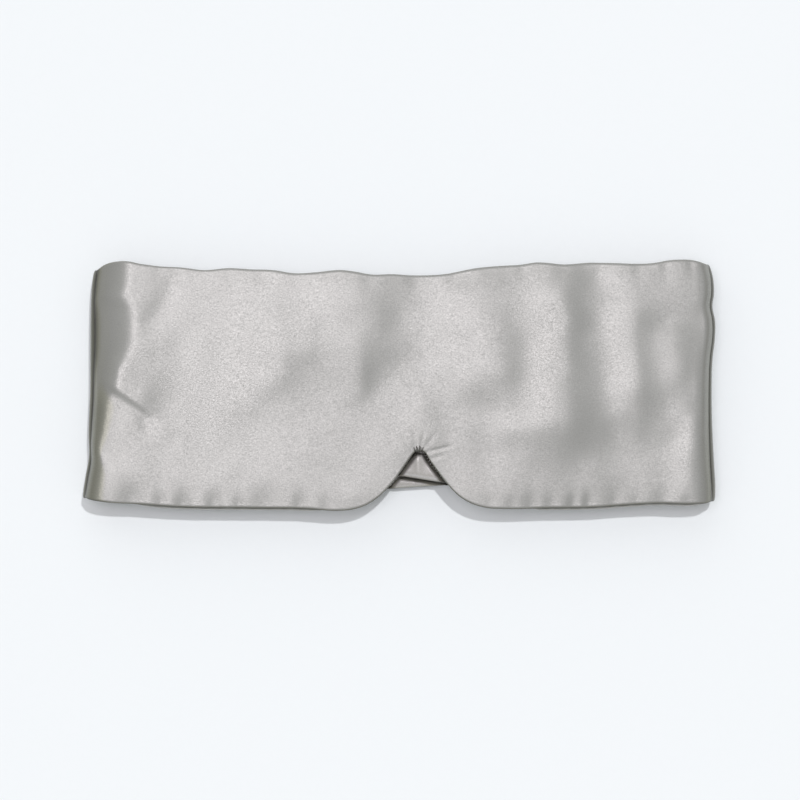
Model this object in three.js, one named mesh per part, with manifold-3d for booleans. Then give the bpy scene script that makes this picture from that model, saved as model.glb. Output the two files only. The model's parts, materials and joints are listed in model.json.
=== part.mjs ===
// Sleep eye mask: a padded satin mask that wraps right round the head and closes behind it with
// hook and loop tape. It lies folded flat, face up: the front panel with its nose notch is on top,
// and the two wings are folded back under it at the left and right folds and closed on each other.
//
// Millimetres, +Z up, +Y towards the brow edge, origin under the middle of the folded mask.
// Every padded member is a stack of cloth layers. In plan it has an outline, and across its width it
// has a section that rolls round the fold, so a layer is its section and its outline in common.

import * as THREE from "three";
import { mergeVertices } from "three/addons/utils/BufferGeometryUtils.js";
import Module from "manifold-3d";

// Driving dimensions
const FOLD_X = 130; // each fold line is this far from the middle
const TOTAL_HEIGHT = 19.2; // of the folded stack, table to face
const BROW_Y = 51.5; // the brow edge at its two ends, and the cheek edge on the other side
const NOTCH_X = 7.8; // the nose notch is a little right of the folded mask's middle
const LEFT_LEAN = 6.5; // the left fold leans in by this much at its brow end

// Cloth, from the outside of a member to its inside
const SATIN = 0.4;
const GAP = 0.3;
const INTERLINING = 0.3;
const WING_THICKNESS = 4;
const FRONT_THICKNESS = 8;
const WADDING_INSET = 1.2; // the wadding ends this far inside the edge seam
const RIM = 0.6; // width of the satin that turns down over the wadding's edge

// Folds
const FOLD_CLEARANCE = 0.2; // between a member and the fold's axis
const AXIS_Z = TOTAL_HEIGHT / 2;
const ROLL_HEIGHT = AXIS_Z - FOLD_CLEARANCE;
const LEFT_ROLL = 14; // how far in from the fold the roll reaches
const RIGHT_ROLL = 8;
const ROLL_STEPS = 5;

// Wings: the left one lies on the table, and the right one climbs over its tip
const LEFT_TIP_X = 58;
const RIGHT_TIP_X = -7;
const RIGHT_WING_LIFT = 6.9;
const RAMP_START_X = 92;
const RAMP_END_X = 66;

// Closure
const TAPE_THICKNESS = 1;
const TAPE_CORNER = 4;
const TAPE_HEIGHT = 60;
const HOOK_TAPE_WIDTH = 24;
const HOOK_TAPE_X = 38;
const LOOP_TAPE_WIDTH = 52;
const LOOP_TAPE_X = 30;
const STITCH_INSET = 2.5; // from the tape's edge to the middle of the stitching
const THREAD_WIDTH = 0.6;
const THREAD_DEPTH = 0.4;

const OVERSIZE = 12; // outlines and sections run this far past each other before they are cut
const PLAN_SEGMENTS = 3;

const wasm = await Module();
wasm.setup();

// Solids

function solidOf(geometry) {
  const bare = geometry.clone();
  bare.deleteAttribute("normal");
  bare.deleteAttribute("uv");
  const merged = mergeVertices(bare, 1e-4);
  return new wasm.Manifold(
    new wasm.Mesh({
      numProp: 3,
      vertProperties: merged.attributes.position.array,
      triVerts: new Uint32Array(merged.index.array),
    }),
  );
}

function geometryOf(solid) {
  const { vertProperties, triVerts } = solid.getMesh();
  const geometry = new THREE.BufferGeometry();
  geometry.setAttribute("position", new THREE.BufferAttribute(vertProperties, 3));
  geometry.setIndex(new THREE.BufferAttribute(triVerts, 1));
  geometry.computeVertexNormals();
  return geometry;
}

// An outline seen from above, as a solid that runs right through the stack.
function planSolid(outline) {
  const geometry = new THREE.ExtrudeGeometry(outline, {
    depth: TOTAL_HEIGHT + 2 * OVERSIZE,
    bevelEnabled: false,
    curveSegments: PLAN_SEGMENTS,
  });
  geometry.translate(0, 0, -OVERSIZE);
  return solidOf(geometry);
}

// A section across the mask, points of x and z, as a solid that runs past both long edges.
// Its left end leans with the left fold.
function sectionSolid(points) {
  const reach = BROW_Y + OVERSIZE;
  const geometry = new THREE.ExtrudeGeometry(new THREE.Shape(points), {
    depth: 2 * reach,
    bevelEnabled: false,
  });
  geometry.rotateX(Math.PI / 2);
  geometry.translate(0, reach, 0);
  const position = geometry.attributes.position;
  for (let i = 0; i < position.count; i++) {
    if (position.getX(i) < LEFT_ROLL - FOLD_X + 1) {
      const share = (position.getY(i) + BROW_Y) / (2 * BROW_Y);
      position.setX(i, position.getX(i) + LEFT_LEAN * share);
    }
  }
  return solidOf(geometry);
}

// The same outline, moved in by a distance.
function insetOutline(outline, distance) {
  const points = outline.getPoints(PLAN_SEGMENTS);
  if (points[0].distanceTo(points.at(-1)) < 1e-6) points.pop();
  const moved = points.map((point, i) => {
    const before = points.at(i - 1);
    const after = points[(i + 1) % points.length];
    const along = after.clone().sub(before).normalize();
    return new THREE.Vector2(point.x - along.y * distance, point.y + along.x * distance);
  });
  return new THREE.Shape(moved);
}

// Sections

// A quarter of the roll round a fold, at a depth in from the member's outer face. It starts at the
// fold and ends where the member runs level. side is -1 at the left fold and 1 at the right one,
// and up is 1 on the front panel and -1 on a wing.
function rollPoints(side, up, reach, depth) {
  const share = 1 - depth / ROLL_HEIGHT;
  const centreX = side * (FOLD_X - FOLD_CLEARANCE - reach);
  const centreZ = AXIS_Z + up * FOLD_CLEARANCE;
  return Array.from({ length: ROLL_STEPS + 1 }, (_, i) => {
    const angle = ((Math.PI / 2) * i) / ROLL_STEPS;
    return new THREE.Vector2(
      centreX + side * reach * share * Math.cos(angle),
      centreZ + up * ROLL_HEIGHT * share * Math.sin(angle),
    );
  });
}

// A layer of the front panel, between two depths below its face.
function frontSection(outer, inner) {
  const face = (depth) => [
    ...rollPoints(-1, 1, LEFT_ROLL, depth),
    ...rollPoints(1, 1, RIGHT_ROLL, depth).reverse(),
  ];
  return [...face(outer), ...face(inner).reverse()];
}

// A layer of a wing, between two heights above its outer face. stations are the x and the lift of
// the points that the wing runs through after its roll.
function wingSection(side, reach, stations, outer, inner) {
  const face = (depth) => [
    ...rollPoints(side, -1, reach, depth),
    ...stations.map(([x, lift]) => new THREE.Vector2(x, lift + depth)),
  ];
  return [...face(outer), ...face(inner).reverse()];
}

const leftWingSection = (outer, inner) =>
  wingSection(-1, LEFT_ROLL, [[LEFT_TIP_X + OVERSIZE, 0]], outer, inner);

const rightWingSection = (outer, inner) =>
  wingSection(
    1,
    RIGHT_ROLL,
    [
      [RAMP_START_X, 0],
      [RAMP_END_X, RIGHT_WING_LIFT],
      [RIGHT_TIP_X - OVERSIZE, RIGHT_WING_LIFT],
    ],
    outer,
    inner,
  );

// Outlines

// The front panel: the brow edge dips in the middle, and the cheek edge has the nose notch.
function frontOutline() {
  const end = FOLD_X + OVERSIZE;
  const notch = { bottom: -BROW_Y, flank: -42, shoulder: -29.4, apex: -26.8 };
  const point = (x, y) => new THREE.Vector2(x, y);
  const outline = new THREE.Shape();
  outline.moveTo(-end, -45.5);
  outline.splineThru([point(-118, -48.6), point(-80, -50.4), point(NOTCH_X - 36, notch.bottom)]);
  outline.bezierCurveTo(
    NOTCH_X - 25, notch.bottom, NOTCH_X - 19, -49, NOTCH_X - 13, notch.flank,
  );
  outline.lineTo(NOTCH_X - 3.6, notch.shoulder);
  outline.quadraticCurveTo(NOTCH_X, notch.apex, NOTCH_X + 3.6, notch.shoulder);
  outline.lineTo(NOTCH_X + 13, notch.flank);
  outline.bezierCurveTo(
    NOTCH_X + 19, -49, NOTCH_X + 25, notch.bottom, NOTCH_X + 36, notch.bottom,
  );
  outline.splineThru([point(90, -49.6), point(end, -47.4)]);
  outline.lineTo(end, BROW_Y - 0.4);
  outline.splineThru([
    point(112, BROW_Y), point(65, 51), point(35, 49), point(0, 46), point(-50, 47.6),
    point(-105, BROW_Y), point(-end, 45),
  ]);
  return outline;
}

// A wing narrows from the fold to a tip with two round corners.
function wingOutline({ side, tipX, foldHalf, tipHalf, corner }) {
  const foldX = side * (FOLD_X + OVERSIZE);
  const cornerX = tipX + side * corner;
  const outline = new THREE.Shape();
  outline.moveTo(foldX, -foldHalf);
  outline.quadraticCurveTo((foldX + cornerX) / 2, -foldHalf, cornerX, -tipHalf);
  outline.quadraticCurveTo(tipX, -tipHalf, tipX, corner - tipHalf);
  outline.lineTo(tipX, tipHalf - corner);
  outline.quadraticCurveTo(tipX, tipHalf, cornerX, tipHalf);
  outline.quadraticCurveTo((foldX + cornerX) / 2, foldHalf, foldX, foldHalf);
  // Drawn from the right fold it runs clockwise, so it is turned round.
  return side < 0 ? outline : new THREE.Shape(outline.getPoints(PLAN_SEGMENTS).reverse());
}

function roundedRectangle(width, height, corner) {
  const [x, y] = [width / 2, height / 2];
  const outline = new THREE.Shape();
  outline.moveTo(corner - x, -y);
  outline.lineTo(x - corner, -y);
  outline.quadraticCurveTo(x, -y, x, corner - y);
  outline.lineTo(x, y - corner);
  outline.quadraticCurveTo(x, y, x - corner, y);
  outline.lineTo(corner - x, y);
  outline.quadraticCurveTo(-x, y, -x, y - corner);
  outline.lineTo(-x, corner - y);
  outline.quadraticCurveTo(-x, -y, corner - x, -y);
  return outline;
}

// Layers

function layer(section, outline) {
  return sectionSolid(section).intersect(planSolid(outline));
}

// The outer satin covers the member's face and turns over the wadding's edges as a rim, which ends
// just above the inner satin.
function outerSatin(sectionOf, outline, thickness) {
  const block = layer(sectionOf(0, thickness - SATIN - GAP), outline);
  const inside = layer(sectionOf(SATIN, thickness), insetOutline(outline, RIM));
  return block.subtract(inside);
}

function wadding(sectionOf, outline, outer, thickness) {
  return layer(
    sectionOf(outer, thickness - SATIN - GAP),
    insetOutline(outline, WADDING_INSET),
  );
}

function innerSatin(sectionOf, outline, thickness) {
  return layer(sectionOf(thickness - SATIN, thickness), outline);
}

// Materials

const satin = () => new THREE.MeshStandardMaterial({ color: 0xb9b7b2, roughness: 0.38 });
const lining = () => new THREE.MeshStandardMaterial({ color: 0xb4b1ab, roughness: 0.42 });
const fibre = () => new THREE.MeshStandardMaterial({ color: 0xf0eee8, roughness: 0.95 });
const blackout = () => new THREE.MeshStandardMaterial({ color: 0x26262a, roughness: 0.9 });
const tape = () => new THREE.MeshStandardMaterial({ color: 0x8d8c88, roughness: 0.85 });
const thread = () => new THREE.MeshStandardMaterial({ color: 0x9c9a95, roughness: 0.6 });
const label = () => new THREE.MeshStandardMaterial({ color: 0xf4f3ef, roughness: 0.5 });

function named(name, geometry, material) {
  const mesh = new THREE.Mesh(geometry, material);
  mesh.name = name;
  return mesh;
}

const clothPiece = (name, solid, material) => named(name, geometryOf(solid), material);

// Front panel

function frontPanel() {
  const outline = frontOutline();
  const beneathSatin = SATIN + GAP;
  const beneathInterlining = beneathSatin + INTERLINING + GAP;
  const interlining = layer(
    frontSection(beneathSatin, beneathSatin + INTERLINING),
    insetOutline(outline, WADDING_INSET),
  );
  const group = new THREE.Group();
  group.add(
    clothPiece("front_outer_satin", outerSatin(frontSection, outline, FRONT_THICKNESS), satin()),
    clothPiece("front_blackout_interlining", interlining, blackout()),
    clothPiece(
      "front_wadding",
      wadding(frontSection, outline, beneathInterlining, FRONT_THICKNESS),
      fibre(),
    ),
    clothPiece("front_inner_satin", innerSatin(frontSection, outline, FRONT_THICKNESS), lining()),
    noseNotchTack(),
  );
  return group;
}

// A short bar of thread that holds the edges together at the top of the nose notch.
function noseNotchTack() {
  const [width, depth, height] = [4, 0.8, 6.4];
  const tack = named("nose_notch_tack", new THREE.BoxGeometry(width, depth, height), thread());
  tack.position.set(NOTCH_X, -29.6, TOTAL_HEIGHT - FRONT_THICKNESS / 2);
  return tack;
}

// Wings

function wing(name, sectionOf, outline) {
  const group = new THREE.Group();
  group.add(
    clothPiece(`${name}_outer_satin`, outerSatin(sectionOf, outline, WING_THICKNESS), satin()),
    clothPiece(
      `${name}_wadding`,
      wadding(sectionOf, outline, SATIN + GAP, WING_THICKNESS),
      fibre(),
    ),
    clothPiece(`${name}_inner_satin`, innerSatin(sectionOf, outline, WING_THICKNESS), lining()),
  );
  return group;
}

// A closed line of stitching round a tape, as a flat ring.
function stitchRing(width, height, threadWidth, depth) {
  const outer = roundedRectangle(
    width - 2 * STITCH_INSET + threadWidth,
    height - 2 * STITCH_INSET + threadWidth,
    TAPE_CORNER / 2,
  );
  outer.holes.push(
    roundedRectangle(
      width - 2 * STITCH_INSET - threadWidth,
      height - 2 * STITCH_INSET - threadWidth,
      TAPE_CORNER / 2,
    ),
  );
  return new THREE.ExtrudeGeometry(outer, { depth, bevelEnabled: false, curveSegments: 2 });
}

// A tape and its stitching, both built lying on z = 0 with the working side up. The stitching is
// pulled down into the tape, in a groove that is open on the working side.
function tapeWithStitching(name, width) {
  const plate = new THREE.ExtrudeGeometry(roundedRectangle(width, TAPE_HEIGHT, TAPE_CORNER), {
    depth: TAPE_THICKNESS,
    bevelEnabled: false,
    curveSegments: 4,
  });
  const grooveDepth = THREAD_DEPTH + GAP;
  const groove = stitchRing(width, TAPE_HEIGHT, THREAD_WIDTH + 2 * GAP, grooveDepth);
  groove.translate(0, 0, TAPE_THICKNESS - THREAD_DEPTH);
  const ring = stitchRing(width, TAPE_HEIGHT, THREAD_WIDTH, THREAD_DEPTH - GAP / 2);
  ring.translate(0, 0, TAPE_THICKNESS - THREAD_DEPTH + GAP / 2);
  const group = new THREE.Group();
  group.add(
    named(name, geometryOf(solidOf(plate).subtract(solidOf(groove))), tape()),
    named(`${name}_stitching`, ring, thread()),
  );
  return group;
}

function leftWing() {
  const outline = wingOutline({
    side: -1, tipX: LEFT_TIP_X, foldHalf: 46.5, tipHalf: 39, corner: 18,
  });
  const group = wing("left_wing", leftWingSection, outline);
  const hookTape = tapeWithStitching("hook_tape", HOOK_TAPE_WIDTH);
  hookTape.position.set(HOOK_TAPE_X, 0, WING_THICKNESS + GAP);
  group.add(hookTape, careLabel());
  return group;
}

// A blank woven label, sewn flat on the inner satin beside the left fold.
function careLabel() {
  const [width, height, thickness] = [14, 26, 0.3];
  const geometry = new THREE.ExtrudeGeometry(roundedRectangle(width, height, 1), {
    depth: thickness,
    bevelEnabled: false,
    curveSegments: 2,
  });
  const mesh = named("care_label", geometry, label());
  mesh.position.set(-96, 14, WING_THICKNESS + GAP);
  return mesh;
}

function rightWing() {
  const outline = wingOutline({
    side: 1, tipX: RIGHT_TIP_X, foldHalf: 48.5, tipHalf: 37, corner: 9,
  });
  const group = wing("right_wing", rightWingSection, outline);
  const loopTape = tapeWithStitching("loop_tape", LOOP_TAPE_WIDTH);
  loopTape.rotation.y = Math.PI; // its working side faces down, onto the hooks
  loopTape.position.set(LOOP_TAPE_X, 0, RIGHT_WING_LIFT - GAP);
  group.add(loopTape);
  return group;
}

const mask = new THREE.Group();
mask.add(frontPanel(), leftWing(), rightWing());

export default mask;
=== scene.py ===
"""A padded satin sleep mask, folded flat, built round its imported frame.

The face of the mask lies on top and its two wings are folded back underneath, closed on each
other with hook and loop tape. Every padded member is a section (how it runs and rolls round its
fold) and an outline (what it looks like laid flat), and its satin, lining and wadding are all
taken from those two. Lengths in the tables below are millimetres, and a mesh is made in metres.
"""

import json
import math

import bpy
import numpy as np
from mathutils import Matrix, Vector
from mathutils.kdtree import KDTree


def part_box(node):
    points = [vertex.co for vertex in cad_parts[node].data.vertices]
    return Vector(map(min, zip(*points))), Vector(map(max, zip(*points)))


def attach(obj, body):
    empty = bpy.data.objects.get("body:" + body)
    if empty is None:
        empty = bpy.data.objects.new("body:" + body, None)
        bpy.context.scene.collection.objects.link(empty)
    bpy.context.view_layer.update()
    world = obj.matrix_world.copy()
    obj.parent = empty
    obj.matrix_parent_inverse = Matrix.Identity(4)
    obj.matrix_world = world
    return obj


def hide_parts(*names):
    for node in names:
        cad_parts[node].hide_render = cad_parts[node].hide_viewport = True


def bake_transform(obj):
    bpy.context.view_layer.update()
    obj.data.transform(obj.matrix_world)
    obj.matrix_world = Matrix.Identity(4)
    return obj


bl_info = {
    "name": "Satin Sleep Mask",
    "version": (1, 0, 0),
    "blender": (4, 5, 0),
    "location": "View3D > Sidebar > Sleep Mask",
    "description": "Builds a padded satin sleep mask with folded wings and a closure",
    "category": "Add Mesh",
}

MM = 0.001

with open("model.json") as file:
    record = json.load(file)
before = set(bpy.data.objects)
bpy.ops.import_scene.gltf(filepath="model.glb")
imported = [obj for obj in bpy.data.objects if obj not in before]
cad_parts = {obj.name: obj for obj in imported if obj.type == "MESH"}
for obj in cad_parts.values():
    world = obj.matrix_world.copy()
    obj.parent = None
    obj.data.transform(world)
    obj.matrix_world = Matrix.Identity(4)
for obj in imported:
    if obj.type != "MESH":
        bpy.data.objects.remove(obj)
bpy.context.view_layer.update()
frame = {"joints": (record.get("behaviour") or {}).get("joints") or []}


# ---------------------------------------------------------------- measures from the frame


def box_mm(node):
    low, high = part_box(node)
    return np.array(low) / MM, np.array(high) / MM


def joint_named(name):
    return next(joint for joint in frame["joints"] if joint["name"] == name)


RIGHT_FOLD = joint_named("right_wing_fold")
LEFT_FOLD = joint_named("left_wing_fold")
FOLD_X = RIGHT_FOLD["pos_m"][0] / MM
AXIS_Z = RIGHT_FOLD["pos_m"][2] / MM
FACE_Z = box_mm("front_outer_satin")[1][2]
FACE_DEPTH = 8.0
LINING_Z = FACE_Z - FACE_DEPTH
WING_DEPTH = 4.0
# How far in from the fold the front's lining and a wing's lining meet.
LINING_MEET = 2.4
LEFT_SLOPE = LEFT_FOLD["axis"][0] / LEFT_FOLD["axis"][1]
LEFT_FOLD_X = LEFT_FOLD["pos_m"][0] / MM
LEFT_TIP_X = box_mm("left_wing_outer_satin")[1][0]
RIGHT_TIP_X = box_mm("right_wing_outer_satin")[0][0]
RIGHT_WING_LIFT = box_mm("right_wing_inner_satin")[1][2] - WING_DEPTH
NOTCH_X = float(np.mean([corner[0] for corner in box_mm("nose_notch_tack")]))
HOOK_LOW, HOOK_HIGH = box_mm("hook_tape")
LOOP_LOW, LOOP_HIGH = box_mm("loop_tape")
LABEL_LOW, LABEL_HIGH = box_mm("care_label")

# ---------------------------------------------------------------- shape of the cloth

# Where a seam joins the front to a wing, as an angle up the fold's roll.
LEFT_SEAM_ANGLE = math.radians(26)
RIGHT_SEAM_ANGLE = math.radians(38)
# How far in from the fold the roll reaches, at heights y. The left fold is loose at its brow end.
LEFT_REACH = (
    (-52, 12.5), (-43, 12.2), (-35, 11.4), (-29, 8.0), (-20, 12.0), (-8, 15.0), (0, 14.6),
    (6, 16.2), (11, 19.4), (17, 21.5), (29, 20.6), (35, 17.2), (40, 18.4), (52, 19.2),
)
RIGHT_REACH = ((-52, 8.5), (-30, 8.0), (-12, 6.4), (20, 5.6), (52, 5.6))
WING_REACH = 12.5
CROWN_WIDTH = 15.0
# How much of each roll's climb its rounded top takes.
LEFT_KNEE = 0.5
RIGHT_KNEE = 0.9
# How far the folded edge stands out or in from the fold line, at heights y.
RIGHT_EDGE = (
    (-52, 0.3), (-44, 0.5), (-30, -0.3), (-5, -1.2), (12, -0.8), (21, 0.2), (27, 0.2),
    (33.5, -0.9), (38, -0.3), (44, -0.4), (52, -2.2),
)
LEFT_EDGE = (
    (-52, 1.8), (-45, 1.4), (-38, 0.7), (-28, -0.4), (-20, 0.3), (0, 0.9), (15, 1.8), (30, 2.6),
    (44, 2.9), (52, 2.2),
)

# The brow edge and the cheek edge of the front, as x and y.
BROW_EDGE = (
    (-144, 41), (-130, 46.6), (-125, 50.0), (-118.5, 51.6), (-109, 50.4), (-99.5, 49.4),
    (-90, 49.0), (-80, 47.9), (-70, 48.7), (-61, 48.2), (-52, 47.9), (-43, 46.6), (-34, 47.0),
    (-24, 47.9), (-18, 47.2), (-12, 46.1), (-3, 46.2), (6, 45.7), (19, 46.3), (31, 48.6),
    (43, 49.7), (49, 50.0), (56, 51.0), (68, 50.2), (78, 50.9), (86, 50.8), (105, 50.9),
    (110, 51.8), (117, 52.2), (124, 51.5), (129, 50.0), (144, 43),
)
CHEEK_EDGE_LEFT = (
    (-144, -42), (-130, -45.2), (-127, -46.1), (-119, -47.5), (-108, -48.1), (-92, -49.2),
    (-61, -49.7), (-37, -50.1), (-26, -50.9),
)
# The nose notch, from the middle of its flat top.
NOTCH_EDGE = (
    (-28, -50.5), (-20.5, -48.0), (-13.7, -42.7), (-9.6, -38.0), (-5.6, -32.3), (-3.2, -28.9),
    (-1.7, -27.0), (0.5, -26.5), (2.6, -27.0), (4.3, -29.8), (7.2, -33.9), (11.7, -39.8),
    (16.2, -44.5), (21.5, -47.8), (28, -49.7),
)
CHEEK_EDGE_RIGHT = (
    (43, -50.1), (62, -49.7), (80, -49.4), (92.5, -48.5), (105, -47.8), (122, -47.9),
    (127.5, -47.3), (131, -45.6), (144, -41),
)
# A wing: half its height at the fold and at the tip, and the tip's round corners.
LEFT_WING_PLAN = {"fold_half": 46.5, "tip_half": 39.0, "corner": 18.0}
RIGHT_WING_PLAN = {"fold_half": 48.5, "tip_half": 37.0, "corner": 9.0}
# Where the right wing starts and ends its climb over the left wing's tip.
RAMP_X = (96, 64)

# Soft folds in the face. Each is a crest from one point to another, x and y, then how wide its
# steep side is, how wide its gentle side is, and its height. The steep side is the right one for
# a crest that runs down, towards the cheek edge.
FACE_FOLDS = (
    (67, 36, 68, -12, 13, 24, 1.8),
    (71, -13, 50, -17, 14, 20, 0.2),
    (97.5, 22, 97, -8, 8.0, 12, 0.6),
    (-19.5, 40, -19, 22, 17, 24, 1.6),
    (-50, 25, -49, 5, 8.5, 15, 0.8),
    (-38, 24, -38, 17, 6, 10, 0.3),
    (-18, 7, -18, 0, 6, 10, 0.3),
    (9, -10, 10, -18, 7, 12, 0.3),
    (33, 38, 35, 10, 12, 18, 1.0),
    (38, 25, 41, 8, 8, 12, 0.5),
    (98, 46, 100, 4, 25, 13, 1.0),
    (114, 17, 114, 9, 5, 6, 0.3),
    (128, 25, 112, 24, 6, 6, -0.3),
    (121.5, -16, 121.5, -46, 5, 6, 0.45),
    (-95, 39, -105, 27, 5.5, 4.5, -0.3),
)
# Sharper creases that start at the left fold, each as a face fold.
LEFT_CREASES = (
    (-108.5, -5.2, -121, 3.4, 2.2, 13, 0.65),
    (-104.0, -14.5, -103.6, -16.0, 3.2, 3.2, -0.25),
)
# Puckers where the face is drawn into its seams: x, half width and depth, along each long edge.
CHEEK_PUCKERS = (
    (-110, 5.0, 0.4), (-98, 2.6, 0.26), (-88.8, 3.2, 0.44), (-76, 3.0, 0.4), (-66, 2.2, 0.26),
    (-54, 6.5, 0.32), (-40.8, 3.0, 0.32), (-30, 2.4, 0.16), (37, 2.4, 0.1), (46, 2.2, 0.12),
    (54, 3.0, 0.22), (62, 2.6, 0.2), (71, 2.2, 0.34), (77.3, 2.0, 0.34), (88, 2.6, 0.16),
    (97, 2.2, 0.12), (108, 3.2, 0.16), (118, 2.2, 0.14),
)
BROW_PUCKERS = (
    (-112, 3.0, 0.18), (-100, 2.4, 0.12), (-84, 3.0, 0.16), (-70, 2.2, 0.1), (-57, 2.8, 0.14),
    (-43, 3.0, 0.2), (-30, 2.2, 0.12), (-13, 4.0, 0.22), (6, 3.0, 0.12), (22, 3.0, 0.16),
    (36, 2.6, 0.12), (50, 2.4, 0.14), (66, 3.0, 0.16), (82, 2.4, 0.1), (98, 2.8, 0.14),
    (109, 2.2, 0.16), (120, 2.4, 0.2),
)
WING_PUCKERS = tuple((x, 2.6, 0.16) for x in range(-118, 120, 13))
# Where the lining's edge rolls out below the cheek edge: from x, to x.
LINING_ROLL = ((-112, -28), (50, 130))

# Gathers that run from the stitched top of the notch: x and y at each end, width and depth.
NOTCH_GATHERS = (
    (11.0, -26.8, 18.6, -24.9, 0.45, 0.17), (9.6, -25.8, 12.6, -22.0, 0.9, 0.07),
    (8.4, -25.6, 9.4, -21.6, 0.8, 0.07), (6.6, -25.6, 6.2, -20.6, 1.0, 0.08),
    (5.2, -26.2, 2.6, -22.4, 1.0, 0.08), (12.6, -29.4, 16.0, -28.6, 0.8, 0.08),
)

# The cloth simulation of the face: its grid, its frames, how hard the filling presses, how much
# the satin gives, and the most that a point may move.
CLOTH_COLUMNS, CLOTH_ROWS = 84, 22
CLOTH_OFFSETS = (0.0, 1.8, 4.4)
CLOTH_FRAMES = 20
CLOTH_PRESSURE = 4.0
CLOTH_GROWTH = 0.03
CLOTH_CAP = 1.2
NOISE_SEED = 11


def smoothstep(share):
    share = np.clip(share, 0.0, 1.0)
    return share * share * (3.0 - 2.0 * share)


def through(points, at):
    """A smooth curve through listed points, read at the given values."""
    x, y = np.array(points, float).T
    slope = np.gradient(y, x)
    i = np.clip(np.searchsorted(x, at) - 1, 0, len(x) - 2)
    span = x[i + 1] - x[i]
    t = np.clip((at - x[i]) / span, 0.0, 1.0)
    return (
        y[i] * (1 + 2 * t) * (1 - t) ** 2
        + slope[i] * span * t * (1 - t) ** 2
        + y[i + 1] * t * t * (3 - 2 * t)
        + slope[i + 1] * span * t * t * (t - 1)
    )


def below_crease(y):
    """0 above the left fold's long crease, and 1 a little below it."""
    return smoothstep((4.0 - y) / 14.0)


def stuffed(distance, radius, crown):
    """How full a pad is: its edge rounds over quickly, and then it crowns gently to its middle."""
    edge = np.sqrt(1.0 - np.clip(1.0 - distance / radius, 0.0, 1.0) ** 2)
    rise = 1.0 - np.clip(1.0 - distance / CROWN_WIDTH, 0.0, 1.0) ** 2
    return edge * (1.0 - crown + crown * rise)


# The lean of the left fold starts this far from the middle, and grows a little past the fold.
LEAN_START = 90.0
LEAN_MOST = 1.2
# Where the ends take the shape of the left edge and of the right one, and over what length.
LEFT_END, LEFT_END_RUN = 112.0, 14.0
RIGHT_END, RIGHT_END_RUN = 116.0, 11.0


def left_lean(y):
    """How far the left fold has moved in from its lowest place at a height."""
    return LEFT_FOLD_X + FOLD_X + LEFT_SLOPE * y


def lean_share(x, most):
    """How much of the left fold's lean a place x takes on, up to most."""
    return np.clip((-LEAN_START - x) / (FOLD_X - LEAN_START), 0.0, most)


def between_folds(x, inset, left_run, right_run):
    """One between the folds, falling to nothing at the inset from each over its run."""
    from_left = smoothstep((x + FOLD_X - inset) / left_run)
    return from_left * smoothstep((FOLD_X - inset - x) / right_run)


def fold_height(fold, x, y):
    x1, y1, x2, y2, steep, gentle, height = fold
    length = math.hypot(x2 - x1, y2 - y1)
    ux, uy = (x2 - x1) / length, (y2 - y1) / length
    along = (x - x1) * ux + (y - y1) * uy
    across = (y - y1) * ux - (x - x1) * uy
    beyond = np.maximum(np.maximum(-along, along - length), 0.0)
    width = np.where(across > 0, steep, gentle)
    ends = 0.45 * (steep + gentle) + 2.0
    return height * np.exp(-((across / width) ** 2) - (beyond / ends) ** 2)


def waves(x, y, size, seed):
    """Soft random undulation of about that size, from -1 to 1, the same each time."""
    grid = np.random.default_rng(seed).uniform(-1, 1, (96, 96))
    u, v = x / size + 48.0, y / size + 48.0
    i, j = np.floor(u).astype(int), np.floor(v).astype(int)
    fu, fv = smoothstep(u - i), smoothstep(v - j)
    i, j = np.clip(i, 0, 94), np.clip(j, 0, 94)
    low = grid[i, j] * (1 - fu) + grid[i + 1, j] * fu
    high = grid[i, j + 1] * (1 - fu) + grid[i + 1, j + 1] * fu
    return low * (1 - fv) + high * fv


def smooth_sample(values, at):
    """Values along their first axis, read between their places on a smooth curve."""
    last = len(values) - 1
    i = np.clip(np.floor(at).astype(int), 0, last - 1)
    t = np.clip(at - i, 0.0, 1.0).reshape((-1,) + (1,) * (values.ndim - 1))
    before, a, b, after = (values[np.clip(i + k, 0, last)] for k in (-1, 0, 1, 2))
    return 0.5 * (
        2 * a + (b - before) * t + (2 * before - 5 * a + 4 * b - after) * t**2
        + (3 * a - before - 3 * b + after) * t**3
    )


# ---------------------------------------------------------------- grids over a member

EDGE_OFFSETS = (0.0, 0.06, 0.22, 0.48, 0.84, 1.3, 1.86, 2.52, 3.28, 4.15, 5.1)


def row_places(count, inset, offsets):
    """Rows across a member: millimetres from the lower edge, from the upper one, and a share."""
    edge = np.array([inset + offset for offset in offsets])
    middle = np.linspace(0, 1, count + 2)[1:-1]
    low = np.concatenate([edge, np.full(count, edge[-1]), np.full(len(edge), np.nan)])
    high = np.concatenate([np.full(len(edge), np.nan), np.full(count, edge[-1]), edge[::-1]])
    share = np.concatenate([np.zeros(len(edge)), middle, np.ones(len(edge))])
    return low, high, share


def rows_between(y_low, y_high, rows):
    """The y of every row of each column, between that column's two edges."""
    low, high, share = rows
    bottom = y_low[:, None] + np.nan_to_num(low, nan=np.nanmax(low))[None, :]
    top = y_high[:, None] - np.nan_to_num(high, nan=np.nanmax(high))[None, :]
    y = bottom * (1 - share) + top * share
    y = np.where(np.isnan(high)[None, :], bottom, y)
    return np.where(np.isnan(low)[None, :], top, y)


def eased_ramp(share, knee):
    """A straight climb from 0 to 1 that levels off over its last part."""
    turn = np.clip((share - 1 + knee) / knee, 0.0, 1.0)
    return (np.minimum(share, 1 - knee) + knee * (turn - turn**3 + turn**4 / 2)) / (1 - knee / 2)


def roll_point(angle, reach):
    """A point of the roll's outer face: how far it is in from the fold, and its height."""
    return reach * (1 - np.cos(angle)), AXIS_Z + AXIS_Z * np.sin(angle)


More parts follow.
